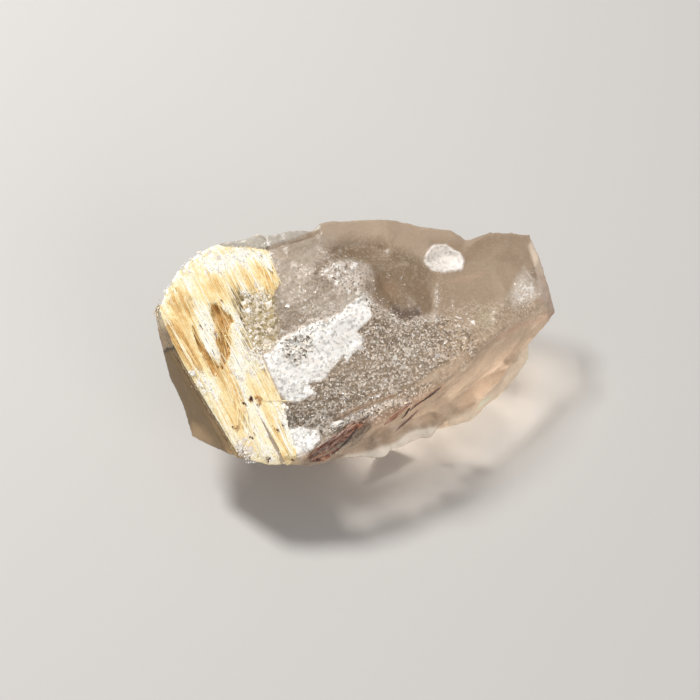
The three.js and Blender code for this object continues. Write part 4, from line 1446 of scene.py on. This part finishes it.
GRAIN_FACES = np.array([
    [0, 2, 4], [2, 1, 4], [1, 3, 4], [3, 0, 4], [2, 0, 5], [1, 2, 5], [3, 1, 5], [0, 3, 5],
])


def grain_mesh(name, centres, outward, sizes, sunk=0.25, flat=1.0, wobble=2.0):
    """Octahedra: six corners along three axes, each stretched by its own amount. The third axis
    points outwards, more or less by the wobble, and may be flattened. The centre lies a little
    under the surface."""
    count = len(centres)
    third = unit(outward + wobble * draw.standard_normal((count, 3)))
    first = unit(np.cross(third, draw.standard_normal((count, 3))))
    axes = np.stack([first, np.cross(third, first), flat * third], 1)
    corners = CORNER_DIRECTIONS * draw.uniform(0.55, 1.2, (count, 6, 1)) * sizes[:, None, None] / 2
    points = corners @ axes + (centres - outward * (sunk * flat * sizes)[:, None])[:, None]
    faces = (GRAIN_FACES[None] + 6 * np.arange(count)[:, None, None]).reshape(-1, 3)
    mesh = bpy.data.meshes.new(name)
    mesh.from_pydata(points.reshape(-1, 3).tolist(), [], faces.tolist())
    print(name, "has", count, "grains and", len(faces), "triangles")
    return add_object(name, mesh)


def scattered(spots):
    """Random pixels round each spot, thinning out from its middle, and mostly small sizes."""
    pixels, sizes = [], []
    for column, row, radius, count, least, most in spots:
        pixels.append(np.array([column, row]) + radius * draw.standard_normal((count, 2)) * 0.6)
        sizes.append(least + (most - least) * draw.uniform(0, 1, count) ** 3)
    return np.concatenate(pixels), np.concatenate(sizes) * MM


def frosted(tries, span, sizes):
    """Random pixels over the gold, each kept with the odds of the frost there, and their sizes."""
    pixels = draw.uniform(*span, (tries, 2))
    odds = golden_fields(on_skin(pixels)[0])[1] * (inside(pixels, OUTLINES["gold"][2]) > 2)
    pixels = pixels[draw.uniform(0, 1, tries) < odds]
    return pixels, (sizes[0] + (sizes[1] - sizes[0]) * draw.uniform(0, 1, len(pixels)) ** 3) * MM


def grains_at(name, spots, scale=1.0, **shape):
    """Grains scattered round the spots, and which way the stone faces under each."""
    pixels, sizes = scattered(spots)
    centres, outward = on_skin(pixels)
    return grain_mesh(name, centres, outward, scale * sizes, **shape), outward


# The front side, the red zone, the groove and the dash are kept free of them.
spot_pixels, spot_sizes = scattered(GRAIN_SPOTS)
clean = (inside(spot_pixels, OUTLINES["side"][2]) < 2) & (inside(spot_pixels, RED_ZONE) < 1)
for name in ("groove", "dash"):
    clean &= from_line(spot_pixels, LINES[name][1]) > 2.5
spot_pixels, spot_sizes = spot_pixels[clean], spot_sizes[clean]
frost_pixels, frost_sizes = frosted(FROST_TRIES, FROST_SPAN, FROST_SIZES)
grain_pixels = np.concatenate([spot_pixels, frost_pixels])
centres, outward = on_skin(grain_pixels)
grains_and_glints = grain_mesh("quartz_grains_and_glints", centres, outward, np.concatenate([spot_sizes, frost_sizes]))
grains_and_glints.data.materials.append(QUARTZ_FINISHES[BRUISED_AND_GLINTS])
write_colour(grains_and_glints.data, "stone_colour", np.full((len(grains_and_glints.data.vertices), 3), 0.95))
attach(grains_and_glints, BODY)

# %% [markdown]
# ## Flakes of quartz
# Thin milky plates lie flat over the gold and the slope. They are flattened grains, with the colour
# of the stone under them made paler.

# %% Flakes
# Pixel, radius in pixels, number, and the smallest and largest size in mm.
FLAKE_SPOTS = [
    (255, 300, 12, 30, 0.4, 1.2), (262, 335, 11, 30, 0.4, 1.2), (250, 362, 12, 12, 0.4, 0.9),
    (240, 380, 6, 6, 0.4, 0.9), (238, 268, 14, 16, 0.4, 1.1), (272, 352, 8, 14, 0.4, 1.0),
    (244, 448, 6, 12, 0.4, 1.0), (285, 412, 7, 8, 0.3, 0.8), (204, 256, 8, 10, 0.4, 1.0),
    (300, 300, 30, 20, 0.3, 0.8), (345, 276, 14, 20, 0.4, 1.1), (390, 360, 40, 50, 0.3, 0.9),
    (525, 292, 8, 12, 0.4, 0.9), (462, 320, 10, 10, 0.4, 1.0), (356, 346, 9, 14, 0.5, 1.3),
    (308, 389, 6, 8, 0.5, 1.1),
]
flakes, outward = grains_at("quartz_flakes", FLAKE_SPOTS, sunk=0.1, flat=0.22, wobble=0.25)
flakes.data.materials.append(QUARTZ_FINISHES[MILKY])
points = places(flakes.data)
flake_zones = zones_of(points, np.repeat(outward, len(CORNER_DIRECTIONS), 0))
write_colour(flakes.data, "stone_colour", 0.4 * colour_of(points, flake_zones) + 0.55)
write(flakes.data, "frost", np.full(len(flakes.data.vertices), 0.3))
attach(flakes, BODY)

# %% [markdown]
# ## Rutile
# Rutile bends light far more than quartz, so its faces flash even where they are not metal. The
# colour runs from cream over gold to orange brown, by the tone that each needle was given.

# %% Rutile material
def rutile_material(name, stops, roughness, ior):
    """A shiny crystal, whose tone picks its colour between the stops, stirred by soft patches."""
    material, tree, shader = new_material(name)
    ramp = tree.nodes.new("ShaderNodeValToRGB")
    while len(ramp.color_ramp.elements) < len(stops):
        ramp.color_ramp.elements.new(0.5)
    for element, (place, colour) in zip(ramp.color_ramp.elements, stops):
        element.position = place
        element.color = (*colour, 1)
    patches = use_group(tree, mottle, Size=0.6, Contrast=1.6)
    amount = patches.outputs["Amount"]
    stirred = math_node(tree, "MULTIPLY", math_node(tree, "SUBTRACT", amount, 0.5), 0.2)
    tree.links.new(math_node(tree, "ADD", read(tree, "tone"), stirred), ramp.inputs["Fac"])
    tree.links.new(ramp.outputs["Color"], shader.inputs["Base Color"])
    gloss = math_node(tree, "MULTIPLY", amount, roughness * 2)
    tree.links.new(gloss, shader.inputs["Roughness"])
    shader.inputs["IOR"].default_value = ior
    return material


GOLD_STOPS = [
    (0.0, (0.33, 0.13, 0.03)), (0.3, (0.62, 0.36, 0.11)), (0.55, (0.84, 0.63, 0.30)),
    (0.75, (0.91, 0.79, 0.48)), (0.9, (0.93, 0.88, 0.68)), (1.0, (0.94, 0.93, 0.88)),
]
RED_STOPS = [
    (0.0, (0.02, 0.008, 0.006)), (0.35, (0.10, 0.03, 0.018)), (0.65, (0.30, 0.12, 0.065)),
    (1.0, (0.55, 0.36, 0.25)),
]
golden_rutile = rutile_material("golden_rutile", GOLD_STOPS, 0.3, 2.0)
red_rutile = rutile_material("red_rutile", RED_STOPS, 0.45, 1.6)

# %% [markdown]
# ## Needles placed one by one
# Stubs of broad needles stand out along the right border of the gold, and one needle lies across
# the others. Each is given by the pixels of its two ends, its half width in mm and its tone.

# %% Single needles
# Pixels of one end, of the point that bends the needle and of the other end, half width in mm, tone.
SINGLE_NEEDLES = [
    ((257, 402), (275, 400), (292, 401), 0.06, 0.7), ((264, 256), (268, 264), (272, 272), 0.26, 1.0),
    ((262, 254), (267, 269), (273, 284), 0.12, 0.85), ((271, 268), (275, 275), (279, 282), 0.10, 0.75),
    ((274, 270), (278, 277), (282, 285), 0.07, 0.7), ((256, 262), (262, 279), (268, 296), 0.10, 0.6),
    ((260, 262), (266, 280), (272, 298), 0.08, 0.65), ((252, 362), (274, 404), (290, 448), 0.07, 0.75),
    ((260, 374), (271, 394), (283, 418), 0.07, 0.7),
    ((255, 358), (264, 376), (276, 398), 0.08, 0.75), ((266, 410), (278, 436), (289, 460), 0.12, 0.7),
    ((248, 410), (260, 436), (272, 461), 0.12, 0.95), ((271, 410), (283, 436), (292, 456), 0.11, 0.98),
    ((262, 404), (276, 432), (284, 458), 0.07, 0.6), ((243, 412), (254, 436), (265, 460), 0.10, 0.8),
    ((165, 316), (184, 348), (204, 386), 0.07, 0.92), ((204, 386), (218, 412), (232, 440), 0.07, 0.9),
    ((184, 286), (196, 308), (203, 326), 0.10, 0.55), ((196, 280), (206, 298), (211, 310), 0.10, 0.9),
    ((178, 300), (190, 322), (202, 344), 0.10, 0.95), ((188, 306), (194, 318), (199, 330), 0.09, 0.55),
    ((230, 268), (238, 284), (246, 300), 0.08, 0.72), ((206, 268), (212, 280), (218, 292), 0.09, 0.6),
]
COURSE_STRAIGHT = 0.2


def laid_needles(name, starts, bends, ends, radius, tone):
    """Needles along parabolas in the view, laid a little way from the skin to a straight course."""
    t = np.linspace(0, 1, STATIONS)[:, None]
    course = (1 - t) ** 2 * starts[:, None] + 2 * t * (1 - t) * bends[:, None] + t**2 * ends[:, None]
    path, outward = on_skin(course.reshape(-1, 2))
    path = path.reshape(-1, STATIONS, 3)
    depth = (path - path[:, :1]) @ TO_CAMERA
    straight = depth[:, -1:] * t[:, 0]
    path = path + (COURSE_STRAIGHT * (straight - depth))[:, :, None] * TO_CAMERA
    path = path + outward.reshape(path.shape) * 0.03 * MM
    piece = needle_mesh(name, path, radius * MM, flat=0.6)
    write(piece.data, "tone", np.repeat(tone, STATIONS * RING))
    return piece


single = [np.array(column, float) for column in zip(*SINGLE_NEEDLES)]
single_needles = laid_needles("single_golden_needles", *single)


def bundle(start, bend, end, spread, count, width, tone):
    """Needles of one bundle: each starts and ends at random along it and a little aside."""
    start, bend, end = (np.array(pixel, float) for pixel in (start, bend, end))
    first = draw.uniform(0, 0.6, (count, 1))
    last = np.clip(first + draw.uniform(0.25, 0.7, (count, 1)), 0, 1)
    aside = draw.normal(0, spread * 0.5, (count, 2))

    def course(t):
        return (1 - t) ** 2 * start + 2 * t * (1 - t) * bend + t**2 * end + aside

    starts, ends = course(first), course(last)
    bends = 2 * course((first + last) / 2) - (starts + ends) / 2
    radius = draw.uniform(*width, count)
    return starts, bends, ends, radius, tone + 0.18 * draw.standard_normal(count)


def bundled_needles(name, bundles):
    """The needles of all the bundles, as one piece."""
    parts = zip(*(bundle(*row) for row in bundles))
    return laid_needles(name, *(np.concatenate(part) for part in parts))


# Bundles: pixels of one end, bend and other end, spread in pixels, number, half widths in mm, tone.
FAN = [
    ((222, 370), (238, 392), (242, 428), 4.5, 110, (0.03, 0.07), 0.62),
    ((232, 374), (244, 400), (247, 428), 2.0, 16, (0.03, 0.06), 0.8),
    ((211, 307), (219, 324), (226, 358), 5.0, 50, (0.025, 0.05), 0.45),
    ((195, 330), (204, 348), (216, 372), 3.0, 30, (0.025, 0.05), 0.42),
    ((163, 308), (182, 347), (205, 388), 0.9, 24, (0.04, 0.07), 0.8),
    ((168, 320), (184, 344), (203, 374), 3.0, 36, (0.03, 0.06), 0.45),
    ((206, 388), (222, 418), (236, 446), 1.3, 40, (0.04, 0.08), 0.8),
]
fan_needles = bundled_needles("golden_fan", FAN)

for piece in (sheaf, golden_needles, single_needles, fan_needles):
    piece.data.materials.append(golden_rutile)
    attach(piece, BODY)
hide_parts("golden_rutile_sheaf")
for material in QUARTZ_FINISHES:
    sheaf.data.materials.append(material)
covered = over_faces(sheaf.data, bare) > ENOUGH
sheaf_slots = np.where(covered, quartz_slots(sheaf.data, gilt) + 1, 0)
sheaf.data.polygons.foreach_set("material_index", sheaf_slots)

# %% [markdown]
# ## Red rutile
# The red needles are darker. They lie along the front ridge, most of them in one streak, over the
# body that takes its solid's place, and fewer further right. Beyond the red outline that body is
# broken quartz.

# %% Red needles
RED_BUNDLES = [
    ((308, 460), (325, 448), (344, 434), 3.5, 60, (0.02, 0.05), 0.35),
    ((322, 452), (338, 440), (358, 422), 3.0, 46, (0.02, 0.05), 0.6),
    ((308, 461), (320, 455), (332, 448), 2.0, 24, (0.02, 0.05), 0.8),
    ((328, 457), (350, 443), (360, 422), 0.8, 26, (0.02, 0.05), 0.0),
    ((322, 454), (330, 446), (338, 440), 2.0, 16, (0.02, 0.06), 0.0),
    ((358, 424), (366, 418), (370, 414), 0.6, 8, (0.02, 0.05), 0.0),
    ((384, 424), (398, 414), (412, 402), 3.0, 30, (0.02, 0.05), 0.62),
    ((400, 420), (406, 414), (410, 407), 0.8, 10, (0.02, 0.05), 0.05),
    ((409, 411), (417, 404), (423, 400), 1.2, 16, (0.02, 0.05), 0.3),
    ((418, 404), (430, 396), (441, 386.5), 0.8, 26, (0.02, 0.05), 0.0),
    ((392, 434), (400, 428), (418, 410), 1.0, 14, (0.02, 0.04), 0.4),
]
red_needles = bundled_needles("red_needles", RED_BUNDLES)
for piece in (red_needles, streak):
    piece.data.materials.append(red_rutile)
    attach(piece, BODY)
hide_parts("red_rutile_streak")
streak.data.materials.append(QUARTZ_FINISHES[BROKEN])
points = places(streak.data)
write_colour(streak.data, "stone_colour", colour_of(points, streaked))
write(streak.data, "frost", frost_of(streaked))
write(streak.data, "grain", np.full(len(streak.data.vertices), 0.15))
beyond = np.clip(2.0 - inside(streaked["pixels"], RED_ZONE), 0, 8)
mixed = 0.55 * rough(stretched(points, FIBRE_STRETCH), 0.6 * MM, 8) + 0.1 * beyond
not_red = over_faces(streak.data, mixed) > RED_SHARE
streak.data.polygons.foreach_set("material_index", not_red.astype(int))

# %% [markdown]
# ## Iron marks
# Dark specks and orange-brown stains of iron dot the golden face. Both are grains at given pixels,
# in the rows of the quartz grains: the specks in dark red, the stains in the brown end of the gold.

# %% Iron specks
SPECK_SPOTS = [
    (200, 327, 1.5, 10, 0.15, 0.35), (203, 326, 1.0, 5, 0.12, 0.3), (221, 301, 0.8, 3, 0.12, 0.25),
    (244.6, 404, 1.2, 9, 0.15, 0.35), (242, 402, 1.0, 4, 0.1, 0.25), (252, 400, 1.4, 9, 0.15, 0.38),
    (257, 398.5, 1.5, 7, 0.12, 0.28), (260, 402, 1.8, 9, 0.15, 0.35), (258, 406, 1.2, 5, 0.12, 0.3),
    (245, 413, 0.8, 3, 0.1, 0.22), (233, 427.5, 0.9, 4, 0.12, 0.3), (236.5, 429, 0.9, 4, 0.12, 0.3),
    (247.5, 435, 0.9, 5, 0.15, 0.35), (250.5, 436.5, 0.8, 4, 0.12, 0.32),
    (253.5, 438, 0.8, 4, 0.12, 0.3), (254, 434, 0.8, 3, 0.1, 0.2), (273, 428, 1.2, 5, 0.12, 0.28),
    (277.5, 430, 0.9, 4, 0.12, 0.3), (283, 425, 1.0, 5, 0.12, 0.3),
    (290, 403.5, 0.8, 3, 0.12, 0.26), (271, 402, 0.5, 2, 0.1, 0.2), (268, 459, 2.2, 9, 0.12, 0.32),
    (294, 460, 1.2, 5, 0.1, 0.25), (214, 377, 2, 4, 0.06, 0.15),
]
specks, outward = grains_at("iron_specks", SPECK_SPOTS, scale=1.3, sunk=0.0)
tones = draw.uniform(0, 0.75, len(outward))
write(specks.data, "tone", np.repeat(tones, len(CORNER_DIRECTIONS)))
specks.data.materials.append(red_rutile)
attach(specks, BODY)

# %% Iron stains
STAIN_SPOTS = [
    (256, 398, 1.8, 12, 0.5, 1.0), (260.5, 400, 1.6, 12, 0.5, 1.0), (259, 403.5, 1.4, 8, 0.3, 0.7),
    (249, 402, 1.2, 5, 0.2, 0.4), (202, 328, 1.6, 6, 0.2, 0.45), (237, 428, 1.5, 5, 0.15, 0.3),
    (268, 460, 2.5, 6, 0.15, 0.3), (275, 428, 1.5, 4, 0.15, 0.3),
]
stains, outward = grains_at("iron_stains", STAIN_SPOTS, sunk=0.1)
tones = draw.uniform(0.1, 0.4, len(outward))
write(stains.data, "tone", np.repeat(tones, len(CORNER_DIRECTIONS)))
stains.data.materials.append(golden_rutile)
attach(stains, BODY)

# %% [markdown]
# ## Floor
# The floor is a plain matt grey.

# %% Floor finish
FLOOR_GREY = 0.5
FLOOR_ROUGHNESS = 0.7
floor_material, tree, shader = new_material("pale_floor")
shader.inputs["Base Color"].default_value = (FLOOR_GREY, FLOOR_GREY, FLOOR_GREY, 1)
shader.inputs["Roughness"].default_value = FLOOR_ROUGHNESS
floor.data.materials.append(floor_material)
